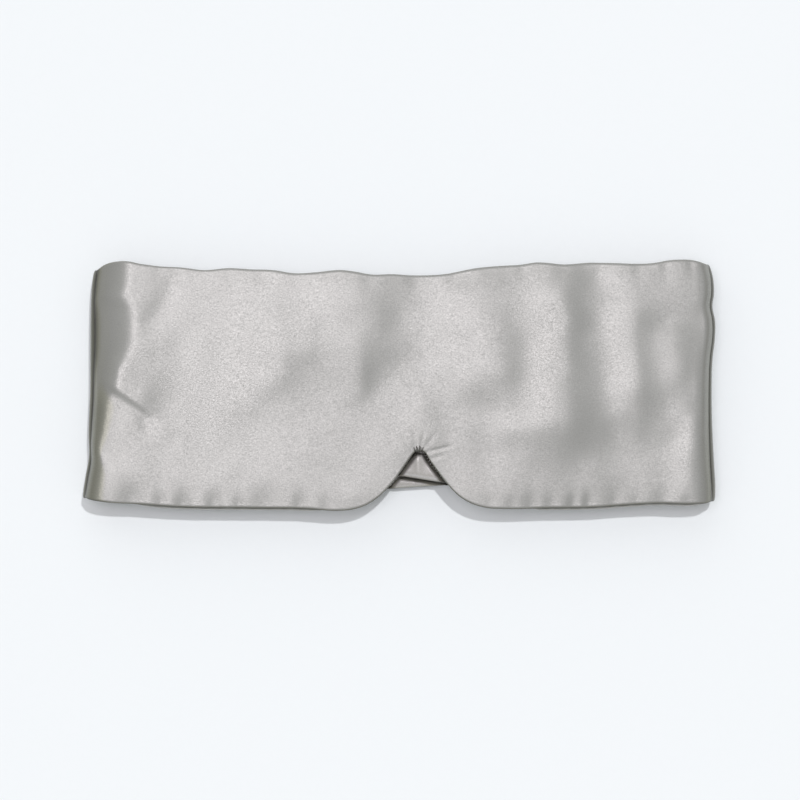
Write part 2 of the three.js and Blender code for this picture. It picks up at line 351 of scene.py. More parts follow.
def edge_distance(x, y, outline):
    """How far each point is inside an outline, and the way out to it."""
    tree = KDTree(len(outline))
    for i, point in enumerate(outline):
        tree.insert((point[0], point[1], 0.0), i)
    tree.balance()
    flat = np.stack([x.ravel(), y.ravel()], axis=1)
    nearest = np.array([outline[tree.find((px, py, 0.0))[1]] for px, py in flat])
    way = nearest - flat
    distance = np.linalg.norm(way, axis=1)
    out = way / np.maximum(distance, 1e-6)[:, None]
    return distance.reshape(x.shape), out.reshape(*x.shape, 2)


def pucker_share(puckers, x, distance):
    """How much of a pad's fullness the puckers of one edge take away."""
    total = np.zeros_like(x)
    for place, half_width, depth in puckers:
        ridge = np.exp(-(((x - place) / half_width) ** 2))
        total += depth * ridge * np.exp(-((distance / (3.2 + 0.8 * half_width)) ** 2))
    return np.clip(total, 0.0, 0.6)


def spread(start, end, count, centre):
    """Places from one x to another, closer together over the nose notch."""
    x = np.linspace(start, end, 4001)
    density = 1.0 + 1.6 * np.exp(-(((x - centre) / 17.0) ** 2))
    total = np.concatenate([[0.0], np.cumsum((density[1:] + density[:-1]) / 2)])
    return np.interp(np.linspace(0, total[-1], count), total, x)


class Member:
    """A padded member of the mask: points on its outer face, its inner face and between them."""

    edge_radius = 0.8
    inner_radius = 2.6
    outer_crown = 0.14
    inner_crown = 0.10
    middle_share = 0.8
    # The hem just inside the seam: how far in, how wide, and how far it stands out on the face.
    hem_in = 0.8
    hem_width = 0.7
    hem_roll = 0.3
    # Half the height at which the rolls are laid out, before the outline bends the rows.
    nominal_half = 44.0

    def place(self, column_count, row_count, inset, offsets=EDGE_OFFSETS, settled=None):
        """Fills outer, inner and middle, arrays of columns by rows of points in millimetres."""
        rows = row_places(row_count, inset, offsets)
        share = rows[2]
        half = self.nominal_half
        nominal_y = np.where(
            share == 0, -half, np.where(share == 1, half, 2 * half * share - half)
        )
        outer_x, outer_z, inner_x, inner_z = self.section(column_count, nominal_y)
        low, high = self.edges(outer_x)
        y = rows_between(low, high, rows)
        self.distance, out = self.edge_field(outer_x, y, low, high)
        if inset == 0:
            self.distance[:, 0] = 0.0
            self.distance[:, -1] = 0.0
        outer = np.stack([outer_x, y, outer_z + self.relief(outer_x, y)], axis=-1)
        inner = np.stack([inner_x, y, inner_z + 0 * y], axis=-1)
        middle = inner + self.middle_share * (outer - inner)
        inner[..., 2] += self.inner_relief(inner_x, y)
        pucker = self.pucker(outer_x, y)
        full_outer = stuffed(self.distance, self.edge_radius, self.outer_crown) * (1 - pucker)
        full_inner = stuffed(self.distance, self.inner_radius, self.inner_crown)
        outer = middle + (outer - middle) * full_outer[..., None]
        inner = middle + (inner - middle) * full_inner[..., None]
        hem = np.exp(-(((self.distance - self.hem_in) / self.hem_width) ** 2))
        hem = hem * (self.distance > 0)
        outer[..., :2] += out * (self.hem_roll * hem)[..., None]
        inner[..., :2] += out * (self.lining_roll(outer_x, y) * hem)[..., None]
        if settled is not None:
            outer += settled.moved(outer_x, (y - low[:, None]) / (high - low)[:, None])
        self.flat_x, self.flat_y = outer_x, y
        self.outer, self.inner, self.middle = (self.lean(p) for p in (outer, inner, middle))
        self.tuck_seams()
        return self

    def edges(self, x):
        """The y of the cheek edge and of the brow edge at each column."""
        return self.low_edge(x[:, 0]), self.high_edge(x[:, -1])

    def edge_field(self, x, y, low, high):
        return edge_distance(x, y, self.outline())

    def painted_seam_shade(self, depth, reach):
        """How much painted shade darkens the crease at the seam at each point, from 0 to 1."""
        return depth * np.exp(-((self.distance / reach) ** 2))

    def relief(self, x, y):
        return 0.10 * waves(x, y, 9.0, NOISE_SEED) + 0.16 * waves(x, y, 21.0, NOISE_SEED + 1)

    def inner_relief(self, x, y):
        return 0.10 * (1 + waves(x, y, 12.0, NOISE_SEED + 2))

    def lining_roll(self, x, y):
        return np.full_like(x, self.hem_roll)

    def lean(self, points):
        """The member's end at the left fold leans with the fold."""
        leaned = points.copy()
        near = lean_share(points[..., 0], LEAN_MOST)
        leaned[..., 0] += left_lean(points[..., 1]) * near
        near_left = smoothstep((-LEFT_END - points[..., 0]) / LEFT_END_RUN)
        near_right = smoothstep((points[..., 0] - RIGHT_END) / RIGHT_END_RUN)
        leaned[..., 0] -= near_left * through(LEFT_EDGE, points[..., 1])
        leaned[..., 0] += near_right * through(RIGHT_EDGE, points[..., 1])
        return leaned

    def tuck_seams(self):
        """Members that are sewn to another at a fold draw their ends in at that seam."""


# How many columns a seam at a fold draws in, how far, and the most of the way to the middle.
TUCK_COLUMNS = 3
TUCK_DEPTH = 0.9
TUCK_MOST = 0.8


def tuck(points, middle, first):
    """Draws the columns at one end of a face in towards the middle, as a seam does."""
    for k in range(TUCK_COLUMNS):
        column = first + k if first >= 0 else first - k
        toward = middle[column] - points[column]
        length = np.maximum(np.linalg.norm(toward, axis=-1, keepdims=True), 1e-6)
        drawn = np.minimum(TUCK_DEPTH * (1 - k / TUCK_COLUMNS) ** 2, TUCK_MOST * length)
        points[column] += toward / length * drawn


class Front(Member):
    """The front panel, from the left seam over the face to the right seam."""

    # Columns of the left roll and of the right one.
    ROLL_COLUMNS = (16, 9)
    # Painted shade on the columns next to a seam at a fold, from the seam on.
    SEAM_SHADES = (1.0, 0.55, 0.2)
    # Painted shade on the left roll above its crease and below it, and on the right roll.
    LEFT_HIGH_SHADE = 0.12
    LEFT_LOW_SHADE = 0.34
    RIGHT_SHADE = 0.22
    # The darkest that the painted shade gets.
    DARKEST_SHADE = 0.95
    # How much further the lining's edge rolls out where it shows, how much its puckers count along
    # each edge, and how far the face sinks between the folds.
    LINING_SHOWS = 1.45
    CHEEK_PUCKER_SHARE = 0.9
    BROW_PUCKER_SHARE = 0.5
    FACE_SINK = 0.6
    # How far the folds wander sideways and up and down, and the size of those waves.
    WANDER = ((3.0, 26.0), (3.5, 24.0))

    def section(self, column_count, y):
        left_reach, right_reach = through(LEFT_REACH, y), through(RIGHT_REACH, y)
        left_angle = np.linspace(LEFT_SEAM_ANGLE, math.pi / 2, self.ROLL_COLUMNS[0] + 1)[:-1]
        right_angle = np.linspace(math.pi / 2, RIGHT_SEAM_ANGLE, self.ROLL_COLUMNS[1] + 1)[1:]
        level = (spread(-FOLD_X, FOLD_X, column_count, NOTCH_X) + FOLD_X) / (2 * FOLD_X)
        seam_in, seam_z = roll_point(LEFT_SEAM_ANGLE, left_reach)
        climb = ((left_angle - LEFT_SEAM_ANGLE) / (math.pi / 2 - LEFT_SEAM_ANGLE))[:, None]
        in_left = seam_in + (left_reach - seam_in) * climb
        soft = below_crease(y)[None, :]
        rise = eased_ramp(climb, LEFT_KNEE) * (1 - soft) + (1 - (1 - climb) ** 4) * soft
        z_left = seam_z + (FACE_Z - seam_z) * rise
        seam_in, seam_z = roll_point(RIGHT_SEAM_ANGLE, right_reach)
        climb = ((right_angle - RIGHT_SEAM_ANGLE) / (math.pi / 2 - RIGHT_SEAM_ANGLE))[:, None]
        in_right = seam_in + (right_reach - seam_in) * climb
        z_right = seam_z + (FACE_Z - seam_z) * eased_ramp(climb, RIGHT_KNEE)
        start, end = left_reach - FOLD_X, FOLD_X - right_reach
        x_level = start[None, :] + (end - start)[None, :] * level[:, None]
        outer_x = np.concatenate([in_left - FOLD_X, x_level, FOLD_X - in_right])
        outer_z = np.concatenate([
            z_left + 0 * left_reach, np.full_like(x_level, FACE_Z), z_right + 0 * right_reach,
        ])
        left_share = np.linspace(0, 1, len(left_angle) + 1)[:-1, None]
        right_share = np.linspace(1, 0, len(right_angle) + 1)[1:, None]
        lining_left = LINING_MEET + (left_reach[None, :] - LINING_MEET) * left_share
        lining_right = LINING_MEET + (right_reach[None, :] - LINING_MEET) * right_share
        inner_x = np.concatenate([lining_left - FOLD_X, x_level, FOLD_X - lining_right])
        drop = LINING_Z - AXIS_Z - 0.5
        inner_z = np.concatenate([
            LINING_Z - drop * (1 - smoothstep(left_share)) + 0 * left_reach,
            np.full_like(x_level, LINING_Z),
            LINING_Z - drop * (1 - smoothstep(right_share)) + 0 * right_reach,
        ])
        return outer_x, outer_z, inner_x, inner_z

    def low_edge(self, x):
        notch = tuple((NOTCH_X + dx, y) for dx, y in NOTCH_EDGE)
        return through(CHEEK_EDGE_LEFT + notch + CHEEK_EDGE_RIGHT, x)

    def high_edge(self, x):
        return through(BROW_EDGE, x)

    def outline(self):
        x = np.arange(-FOLD_X - 12, FOLD_X + 12, 0.15)
        low = np.stack([x, self.low_edge(x)], axis=1)
        high = np.stack([x, self.high_edge(x)], axis=1)
        return np.concatenate([low, high])

    def relief(self, x, y):
        level = between_folds(x, 1, 12.0, 7.0)
        leaned = x + left_lean(y) * lean_share(x, 1.0)
        height = super().relief(x, y)
        # The folds wander a little, as they do in loose cloth.
        (across, across_size), (along, along_size) = self.WANDER
        wander_x = leaned + across * waves(x, y, across_size, NOISE_SEED + 20)
        wander_y = y + along * waves(x, y, along_size, NOISE_SEED + 21)
        for fold in FACE_FOLDS:
            height = height + fold_height(fold, wander_x, wander_y)
        for crease in LEFT_CREASES:
            height = height + fold_height(crease, leaned, y)
        for x1, y1, x2, y2, width, depth in NOTCH_GATHERS:
            height = height + fold_height((x1, y1, x2, y2, width, width, -depth), x, y)
        return height * level - self.FACE_SINK * between_folds(x, 4, 34.0, 34.0)

    def outer_painted_shade(self):
        # Painted shade: a dark hairline at each seam, darker rolls where the face turns from the
        # light, and darker columns beside the fold seams.
        near_notch = np.exp(-(((self.flat_x - NOTCH_X) / 17.0) ** 4)) * (self.flat_y < 0)
        depth = np.where(self.flat_y < 0, 0.9, 0.2) + 0.05 * near_notch
        shade = self.painted_seam_shade(depth, 0.5)
        low = below_crease(self.flat_y)
        left, right = self.ROLL_COLUMNS
        climb = np.linspace(0, 1, left)[:, None]
        top = 1 - smoothstep((climb - 0.3) / 0.4)
        shade[:left] += self.LEFT_HIGH_SHADE * (1 - low[:left]) * top
        reach = through(LEFT_REACH, self.flat_y)
        rolled = smoothstep((1.05 * reach - FOLD_X - self.flat_x) / (0.7 * reach))
        shade += self.LEFT_LOW_SHADE * low * rolled
        shade[-right:] += self.RIGHT_SHADE * np.linspace(0, 1, right)[:, None]
        shade = np.clip(shade, 0.0, self.DARKEST_SHADE)
        for end, seam_depth in ((0, 0.9), (-1, 0.75)):
            for step, share in enumerate(self.SEAM_SHADES):
                column = end + step if end == 0 else end - step
                shade[column] = np.maximum(shade[column], seam_depth * share)
        return shade

    def inner_painted_shade(self):
        # Painted shade on the lining at its seam.
        return self.painted_seam_shade(0.8, 0.45)

    def pucker(self, x, y):
        low = y - self.low_edge(x)
        high = self.high_edge(x) - y
        cheek = self.CHEEK_PUCKER_SHARE * pucker_share(CHEEK_PUCKERS, x, low)
        return cheek + self.BROW_PUCKER_SHARE * pucker_share(BROW_PUCKERS, x, high)

    def lining_roll(self, x, y):
        rolled = sum(
            smoothstep((x - start) / 10.0) * smoothstep((end - x) / 10.0)
            for start, end in LINING_ROLL
        )
        return self.hem_roll + self.LINING_SHOWS * rolled * (y < 0)

    def tuck_seams(self):
        for first in (0, -1):
            tuck(self.outer, self.middle, first)


class Wing(Member):
    """A wing, from its seam round the fold and along underneath to its tip."""

    edge_radius = 2.2
    inner_radius = 2.2
    outer_crown = 0.3
    inner_crown = 0.3
    middle_share = 0.5
    # Columns of the roll above its axis and below it, columns past the roll over which the wing
    # takes its own height, and columns past it before its tip is measured.
    ROLL_COLUMNS = (7, 16)
    PLAN_COLUMNS = 6
    STRAIGHT_COLUMNS = 14
    # How far in from the fold the front's height is read, and how fast the wing widens past it.
    SEAM_IN = 2.0
    PLAN_OUT = 12.0
    # Across the front's edge in the notch: where the inside starts, where the groove is and how
    # wide, where the lining starts to swell and over what length, and how wide the painted shadow
    # under the front's edge is.
    INSIDE_FROM = 0.3
    GROOVE_AT = 0.1
    GROOVE_WIDTH = 0.75
    SWELL_FROM = 0.6
    SWELL_RUN = 1.5
    PAINTED_SHADOW_WIDTH = 0.92
    # Painted shade on each column, from the seam on round the roll.
    ROLL_SHADES = (1.0, 0.7, 0.56, 0.5, 0.48, 0.46, 0.42, 0.34, 0.2, 0.1)
    # The lining inside the notch: how far it swells, how deep the front's edge presses it, and
    # its soft folds, each as a face fold.
    NOTCH_SWELL = 1.6
    NOTCH_GROOVE = 2.4
    NOTCH_FOLDS = ((6.4, -38.8, 6.2, -41, 0.8, 0.8, 0.3), (12, -39.5, 12, -41, 0.8, 0.8, 0.25))

    def __init__(self, side, tip_x, plan, seam_angle, reach, upper_reach):
        self.side, self.tip_x, self.plan = side, tip_x, plan
        self.seam_angle, self.reach, self.upper_reach = seam_angle, reach, upper_reach

    def lift(self, x):
        return np.zeros_like(x)

    def section(self, column_count, y):
        upper_reach = through(self.upper_reach, y)
        upper = np.linspace(self.seam_angle, 0, self.ROLL_COLUMNS[0] + 1)[:-1]
        lower = np.linspace(0, math.pi / 2, self.ROLL_COLUMNS[1] + 1)[:-1]
        in_upper, z_upper = roll_point(upper[:, None], upper_reach[None, :])
        in_lower, z_lower = roll_point(-lower[:, None], np.full_like(y, self.reach)[None, :])
        tip_run = np.array(EDGE_OFFSETS[::-1])
        start, end = FOLD_X - self.reach, self.side * self.tip_x
        level = spread(start, end + tip_run[0], column_count, self.side * NOTCH_X)
        run = np.concatenate([level[:-1], end + tip_run])
        level = self.side * run[:, None] + 0 * y[None, :]
        outer_x = np.concatenate([
            self.side * (FOLD_X - in_upper), self.side * (FOLD_X - in_lower), level,
        ])
        outer_z = np.concatenate([
            z_upper + 0 * upper_reach, z_lower + 0 * upper_reach, self.lift(level),
        ])
        # The lining meets the front's lining just inside the fold, level with its axis.
        share = np.linspace(1, 0, len(upper) + 1)[:-1, None]
        thin_x = FOLD_X - in_upper - 1.2
        upper_x = (FOLD_X - LINING_MEET) * (1 - share) + thin_x * share
        upper_z = AXIS_Z * (1 - share) + (z_upper - 0.8) * share
        lower_in = LINING_MEET + (self.reach - LINING_MEET) * (1 - np.cos(lower[:, None]))
        lower_z = AXIS_Z - (AXIS_Z - WING_DEPTH) * np.sin(lower[:, None])
        inner_x = np.concatenate([
            self.side * upper_x, self.side * (FOLD_X - lower_in) + 0 * y, level,
        ])
        inner_z = np.concatenate([
            upper_z + 0 * y, lower_z + 0 * y, self.lift(level) + WING_DEPTH,
        ])
        return outer_x, outer_z, inner_x, inner_z

    def half_height(self, x):
        """Half the wing's height at x: it narrows to a tip with round corners."""
        fold, tip = FOLD_X + self.PLAN_OUT, self.side * self.tip_x
        corner = tip + self.plan["corner"]
        run = self.side * x
        along = np.clip((fold - run) / (fold - corner), 0.0, 1.0)
        taper = self.plan["fold_half"] - self.plan["tip_half"]
        half = self.plan["fold_half"] - taper * along**2
        turn = np.clip((corner - run) / (corner - tip), 0.0, 1.0)
        return half - self.plan["corner"] * (1 - np.sqrt(1 - turn**2))

    def low_edge(self, x):
        return -self.half_height(x)

    def high_edge(self, x):
        return self.half_height(x)

    def edges(self, x):
        """Round the fold a wing is as tall as the front it is sewn to, then takes its own plan."""
        front = Front()
        place = np.array([self.side * (FOLD_X - self.SEAM_IN)])
        count = sum(self.ROLL_COLUMNS) + self.PLAN_COLUMNS
        share = smoothstep((np.arange(len(x)) - self.ROLL_COLUMNS[0]) / count)
        low = (1 - share) * front.low_edge(place) + share * self.low_edge(x[:, 0])
        high = (1 - share) * front.high_edge(place) + share * self.high_edge(x[:, 0])
        return low, high

    def edge_field(self, x, y, low, high):
        across = np.minimum(y - low[:, None], high[:, None] - y)
        out = np.zeros(x.shape + (2,))
        out[..., 1] = np.where(y - low[:, None] < high[:, None] - y, -1.0, 1.0)
        distance = across.copy()
        tip = sum(self.ROLL_COLUMNS) + self.STRAIGHT_COLUMNS
        distance[tip:], out[tip:] = edge_distance(x[tip:], y[tip:], self.outline())
        return distance, out

    def outline(self):
        run = np.arange(self.side * self.tip_x, FOLD_X + self.PLAN_OUT, 0.2)
        x = self.side * run
        flat = self.plan["tip_half"] - self.plan["corner"]
        y = np.arange(-flat, flat, 0.2)
        return np.concatenate([
            np.stack([x, self.low_edge(x)], axis=1),
            np.stack([x, self.high_edge(x)], axis=1),
            np.stack([np.full_like(y, self.tip_x), y], axis=1),
        ])

    def relief(self, x, y):
        """The outer face is pressed flat where it lies on the table, and lifts only a little."""
        level = smoothstep((FOLD_X - 3 - np.abs(x)) / 10.0)
        return level * 0.12 * (1 + waves(x, y, 14.0, NOISE_SEED + 3 + self.side))

    def inner_relief(self, x, y):
        height = 0.12 * waves(x, y, 10.0, NOISE_SEED + 7 + self.side)
        return height + self.notch_relief(x, y)

    def notch_relief(self, x, y):
        """The lining sinks where the front's edge presses on it, and swells inside the notch."""
        sunk = np.zeros_like(x)
        self.pressed = np.zeros_like(x)
        self.edge_gap = np.zeros_like(x)
        near = (np.abs(x - NOTCH_X) < 32) & (y < -22)
        spots = np.arange(NOTCH_X - 30, NOTCH_X + 30, 0.1)
        edge = np.stack([spots, Front().low_edge(spots)], axis=1)
        distance, _ = edge_distance(x[near][None], y[near][None], edge)
        gap = distance[0]
        inside = y[near] < Front().low_edge(x[near]) - self.INSIDE_FROM
        groove = np.exp(-(((gap - self.GROOVE_AT) / self.GROOVE_WIDTH) ** 2))
        swell = np.where(inside, smoothstep((gap - self.SWELL_FROM) / self.SWELL_RUN), 0.0)
        # pressed is painted shadow: the lining is darkened in the gap under the front's edge.
        self.pressed[near] = np.exp(-((gap / self.PAINTED_SHADOW_WIDTH) ** 2))
        self.edge_gap[near] = gap
        sunk[near] = self.NOTCH_SWELL * swell - self.NOTCH_GROOVE * groove
        for fold in self.NOTCH_FOLDS:
            sunk[near] += swell * fold_height(fold, x[near], y[near])
        inside_edge = np.clip((self.half_height(x) - np.abs(y)) / 2.6, 0.0, 1.0)
        return sunk * np.sqrt(1 - (1 - inside_edge) ** 2)

    def outer_painted_shade(self):
        # Painted shade at the seam and on the columns round the roll.
        shade = self.painted_seam_shade(0.7, 0.6)
        for step, share in enumerate(self.ROLL_SHADES):
            shade[step] = np.maximum(shade[step], 0.9 * share)
        return shade

    def inner_painted_shade(self):
        # Painted shade at the seam, and painted shadow where the lining lies in the gap under an
        # edge.
        return np.maximum(self.painted_seam_shade(0.85, 0.7), 0.95 * self.pressed)

    def pucker(self, x, y):
        near = self.half_height(x) - np.abs(y)
        return pucker_share(WING_PUCKERS, x + 3.0 * np.sign(y), near)

    def tuck_seams(self):
        tuck(self.outer, self.middle, 0)


class LeftWing(Wing):
    """The left wing lies lowest, and the right wing's edge presses into it."""

    # How far the lining swells past the right wing's edge, how deep that edge presses it, and the
    # most that it may sink, so that it never meets the outer face.
    LIP_SWELL = 3.0
    LIP_GROOVE = 1.6
    DEEPEST_GROOVE = 2.9
    # How wide the groove is, and where the lip's swell starts and over what length: from the right
    # wing's edge, from the front's edge, and in towards the middle of the notch.
    LIP_WIDTH = 0.95
    LIP_FROM, LIP_RUN = 0.5, 1.2
    EDGE_FROM, EDGE_RUN = 0.8, 1.4
    NOTCH_HALF, NOTCH_RUN = 24, 9

    def inner_relief(self, x, y):
        height = super().inner_relief(x, y)
        near = (np.abs(x - NOTCH_X) < 40) & (y < -20)
        right_wing = right_wing_member()
        distance, _ = edge_distance(x[near][None], y[near][None], right_wing.outline())
        gap = distance[0]
        groove = np.exp(-((gap / self.LIP_WIDTH) ** 2))
        below = y[near] < right_wing.low_edge(x[near])
        beyond = below * smoothstep((gap - self.LIP_FROM) / self.LIP_RUN)
        beyond = beyond * smoothstep((self.edge_gap[near] - self.EDGE_FROM) / self.EDGE_RUN)
        from_middle = np.abs(x[near] - NOTCH_X)
        beyond = beyond * smoothstep((self.NOTCH_HALF - from_middle) / self.NOTCH_RUN)
        height[near] += self.LIP_SWELL * beyond - self.LIP_GROOVE * groove
        # The groove under the right wing's edge is darkened with painted shadow as well.
        self.pressed[near] = np.maximum(self.pressed[near], groove)
        return np.maximum(height, -self.DEEPEST_GROOVE)


class RightWing(Wing):
    """The right wing climbs from the table over the left wing's tip."""

    NOTCH_SWELL = 5.8
    NOTCH_GROOVE = 2.0
    NOTCH_FOLDS = (
        (7.6, -31, 7.8, -36.5, 1.2, 1.2, 0.8), (4.4, -33.2, 4.2, -35.6, 1.5, 1.5, -0.6),
        (11, -32.6, 11.2, -36, 1.5, 1.5, -0.6), (14.4, -35, 15, -38, 1.6, 1.6, 0.25),
    )

    def lift(self, x):
        return RIGHT_WING_LIFT * smoothstep((RAMP_X[0] - x) / (RAMP_X[0] - RAMP_X[1]))


def left_wing_member():
    return LeftWing(-1, LEFT_TIP_X, LEFT_WING_PLAN, LEFT_SEAM_ANGLE, WING_REACH, LEFT_REACH)


def right_wing_member():
    return RightWing(1, RIGHT_TIP_X, RIGHT_WING_PLAN, RIGHT_SEAM_ANGLE, 9.0, RIGHT_REACH)


# ---------------------------------------------------------------- meshes


def new_piece(name, points, faces):
    """A piece in the row frame, from points in millimetres."""
    mesh = bpy.data.meshes.new(name)
    mesh.from_pydata([tuple(p) for p in np.asarray(points) * MM], [], faces)
    mesh.validate()
    mesh.update()
    piece = bpy.data.objects.new(name, mesh)
    bpy.context.scene.collection.objects.link(piece)
    shade_smooth(piece)
    return piece


def shade_smooth(piece):
    for polygon in piece.data.polygons:
        polygon.use_smooth = True


def grid_faces(columns, rows, start=0, flip=False):
    faces = []
    for c in range(columns - 1):
        for r in range(rows - 1):
            a = start + c * rows + r
            quad = (a, a + rows, a + rows + 1, a + 1)
            faces.append(quad[::-1] if flip else quad)
    return faces


def only(piece):
    bpy.ops.object.select_all(action="DESELECT")
    piece.select_set(True)
    bpy.context.view_layer.objects.active = piece


def apply_modifiers(piece):
    only(piece)
    for modifier in list(piece.modifiers):
        bpy.ops.object.modifier_apply(modifier=modifier.name)


def cloth_sheet(name, points, thickness, flip, shade=None):
    """One layer of cloth as a thin closed sheet. Its given points are the side that shows."""
    columns, rows, _ = points.shape
    piece = new_piece(name, points.reshape(-1, 3), grid_faces(columns, rows, flip=flip))
    # The painted shade of each point, kept as an attribute that darkens the satin's colour.
    crease = piece.data.attributes.new("painted_shade", "FLOAT", "POINT")
    values = np.zeros(columns * rows) if shade is None else shade.ravel()
    crease.data.foreach_set("value", values.astype(np.float32))
    solidify = piece.modifiers.new("cloth thickness", "SOLIDIFY")
    solidify.thickness = thickness
    solidify.offset = -1.0
    apply_modifiers(piece)
    shade_smooth(piece)
    return piece


def toward_middle(points, middle, depth):
    """The points moved in towards the member's middle by a depth, and never past it."""
    way = middle - points
    length = np.maximum(np.linalg.norm(way, axis=-1, keepdims=True), 1e-6)
    return points + way * np.minimum(depth / length, 0.96)


def border(columns, rows):
    """The indices round the outside of a grid, in order."""
    low = [c * rows for c in range(columns)]
    end = [(columns - 1) * rows + r for r in range(1, rows)]
    high = [c * rows + rows - 1 for c in range(columns - 2, -1, -1)]
    start = [r for r in range(rows - 2, 0, -1)]
    return low + end + high + start


def stuffed_block(name, top, bottom, flip):
    """A closed block of wadding between two grids."""
    columns, rows, _ = top.shape
    count = columns * rows
    points = np.concatenate([top.reshape(-1, 3), bottom.reshape(-1, 3)])
    faces = grid_faces(columns, rows, flip=flip)
    faces += grid_faces(columns, rows, start=count, flip=not flip)
    ring = border(columns, rows)
    for a, b in zip(ring, ring[1:] + ring[:1]):
        quad = (a, a + count, b + count, b)
        faces.append(quad[::-1] if flip else quad)
    return new_piece(name, points, faces)


class SettledCloth:
    """How the front's satin moves when its filling presses it out between its seams."""

    def __init__(self):
        pad = Front().place(CLOTH_COLUMNS, CLOTH_ROWS, 0.0, CLOTH_OFFSETS)
        columns, rows, _ = pad.outer.shape
        piece = stuffed_block("front_pad_cloth", pad.outer, pad.inner, False)
        held = piece.vertex_groups.new(name="held")
        inner = range(columns * rows, 2 * columns * rows)
        held.add(border(columns, rows) + list(inner), 1.0, "REPLACE")
        cloth = piece.modifiers.new("cloth", "CLOTH")
        cloth.settings.vertex_group_mass = "held"
        cloth.settings.use_pressure = True
        cloth.settings.uniform_pressure_force = CLOTH_PRESSURE
        cloth.settings.shrink_min = -CLOTH_GROWTH
        cloth.settings.effector_weights.gravity = 0.0
        cloth.point_cache.frame_start, cloth.point_cache.frame_end = 1, CLOTH_FRAMES
        scene = bpy.context.scene
        for number in range(1, CLOTH_FRAMES + 1):
            scene.frame_set(number)
        settled = piece.evaluated_get(bpy.context.evaluated_depsgraph_get())
        points = np.empty(len(settled.data.vertices) * 3)
        settled.data.vertices.foreach_get("co", points)
        points = points.reshape(-1, 3)[: columns * rows].reshape(columns, rows, 3) / MM
        scene.frame_set(1)
        bpy.data.objects.remove(piece)
        move = points - pad.outer
        length = np.maximum(np.linalg.norm(move, axis=-1, keepdims=True), 1e-6)
        self.move = move * (CLOTH_CAP * np.tanh(length / CLOTH_CAP) / length)
        self.x = pad.flat_x.mean(axis=1)
        y = pad.flat_y
        self.share = ((y - y[:, :1]) / (y[:, -1:] - y[:, :1])).mean(axis=0)

    def moved(self, x, share):
        """The movement at each point of a grid of columns by rows."""
        column = np.interp(x.mean(axis=1), self.x, np.arange(len(self.x)))
        across = smooth_sample(self.move, column)
        row = np.interp(share.mean(axis=0), self.share, np.arange(len(self.share)))
        return np.swapaxes(smooth_sample(np.swapaxes(across, 0, 1), row), 0, 1)


# ---------------------------------------------------------------- materials

# How dark the painted shade is where its olive cast starts, and the most that the cast takes from
# blue.
SHADE_OLIVE_START = 0.1
SHADE_OLIVE_MOST = 0.11


def node(tree, kind, inputs=None, **settings):
    made = tree.nodes.new(kind)
    for key, value in settings.items():
        setattr(made, key, value)
    for key, value in (inputs or {}).items():
        if isinstance(value, bpy.types.NodeSocket):
            tree.links.new(value, made.inputs[key])
        else:
            made.inputs[key].default_value = value
    return made


def group_tree(name, inputs, outputs):
    tree = bpy.data.node_groups.new(name, "ShaderNodeTree")
    for socket, kind, value in inputs:
        made = tree.interface.new_socket(socket, in_out="INPUT", socket_type=kind)
        if value is not None:
            made.default_value = value
    for socket, kind in outputs:
        tree.interface.new_socket(socket, in_out="OUTPUT", socket_type=kind)
    start, end = node(tree, "NodeGroupInput"), node(tree, "NodeGroupOutput")
    return tree, start, end


def math_node(tree, operation, a, b):
    return node(tree, "ShaderNodeMath", {0: a, 1: b}, operation=operation).outputs[0]


def scaled_noise(tree, vector, stretch, scale, detail):
    mapping = node(tree, "ShaderNodeMapping", {"Vector": vector, "Scale": stretch})
    noise = node(
        tree, "ShaderNodeTexNoise",
        {"Vector": mapping.outputs[0], "Scale": scale, "Detail": detail, "Roughness": 0.6},
    )
    return noise.outputs["Fac"]


def build_satin_weave():
    """Satin: fine crossing floats of thread that glint one by one, and soft uneven dyeing."""
    tree, start, end = group_tree(
        "satin_weave",
        (
            ("Vector", "NodeSocketVector", None),
            ("Float Length", "NodeSocketFloat", 900.0),
            ("Glitter", "NodeSocketFloat", 0.5),
            ("Gloss", "NodeSocketFloat", 0.4),
            ("Mottle", "NodeSocketFloat", 0.05),
            ("Grain", "NodeSocketFloat", 0.16),
        ),
        (
            ("Shade", "NodeSocketFloat"), ("Height", "NodeSocketFloat"),
            ("Metal", "NodeSocketFloat"),
        ),
    )
    place = start.outputs["Vector"]
    length = start.outputs["Float Length"]
    floats = scaled_noise(tree, place, (0.8, 2.0, 1.0), length, 0.0)
    threads = scaled_noise(tree, place, (1.8, 1.2, 1.0), length, 0.0)
    glints = scaled_noise(tree, place, (1.6, 2.0, 1.6), length, 0.0)
    patches = scaled_noise(tree, place, (1.0, 1.0, 1.0), 55.0, 3.0)
    weave = math_node(tree, "ADD", floats, threads)
    weave = math_node(tree, "ADD", weave, glints)
    weave = math_node(tree, "SUBTRACT", weave, 1.5)
    patch = math_node(tree, "SUBTRACT", patches, 0.5)
    patch = math_node(tree, "MULTIPLY", patch, start.outputs["Mottle"])
    shade = math_node(tree, "MULTIPLY", weave, start.outputs["Grain"])
    shade = math_node(tree, "ADD", shade, patch)
    shade = math_node(tree, "ADD", shade, 1.0)
    glitter = math_node(tree, "MULTIPLY", weave, start.outputs["Glitter"])
    metal = math_node(tree, "ADD", glitter, start.outputs["Gloss"])
    tree.links.new(shade, end.inputs["Shade"])
    tree.links.new(weave, end.inputs["Height"])
    tree.links.new(metal, end.inputs["Metal"])
    return tree


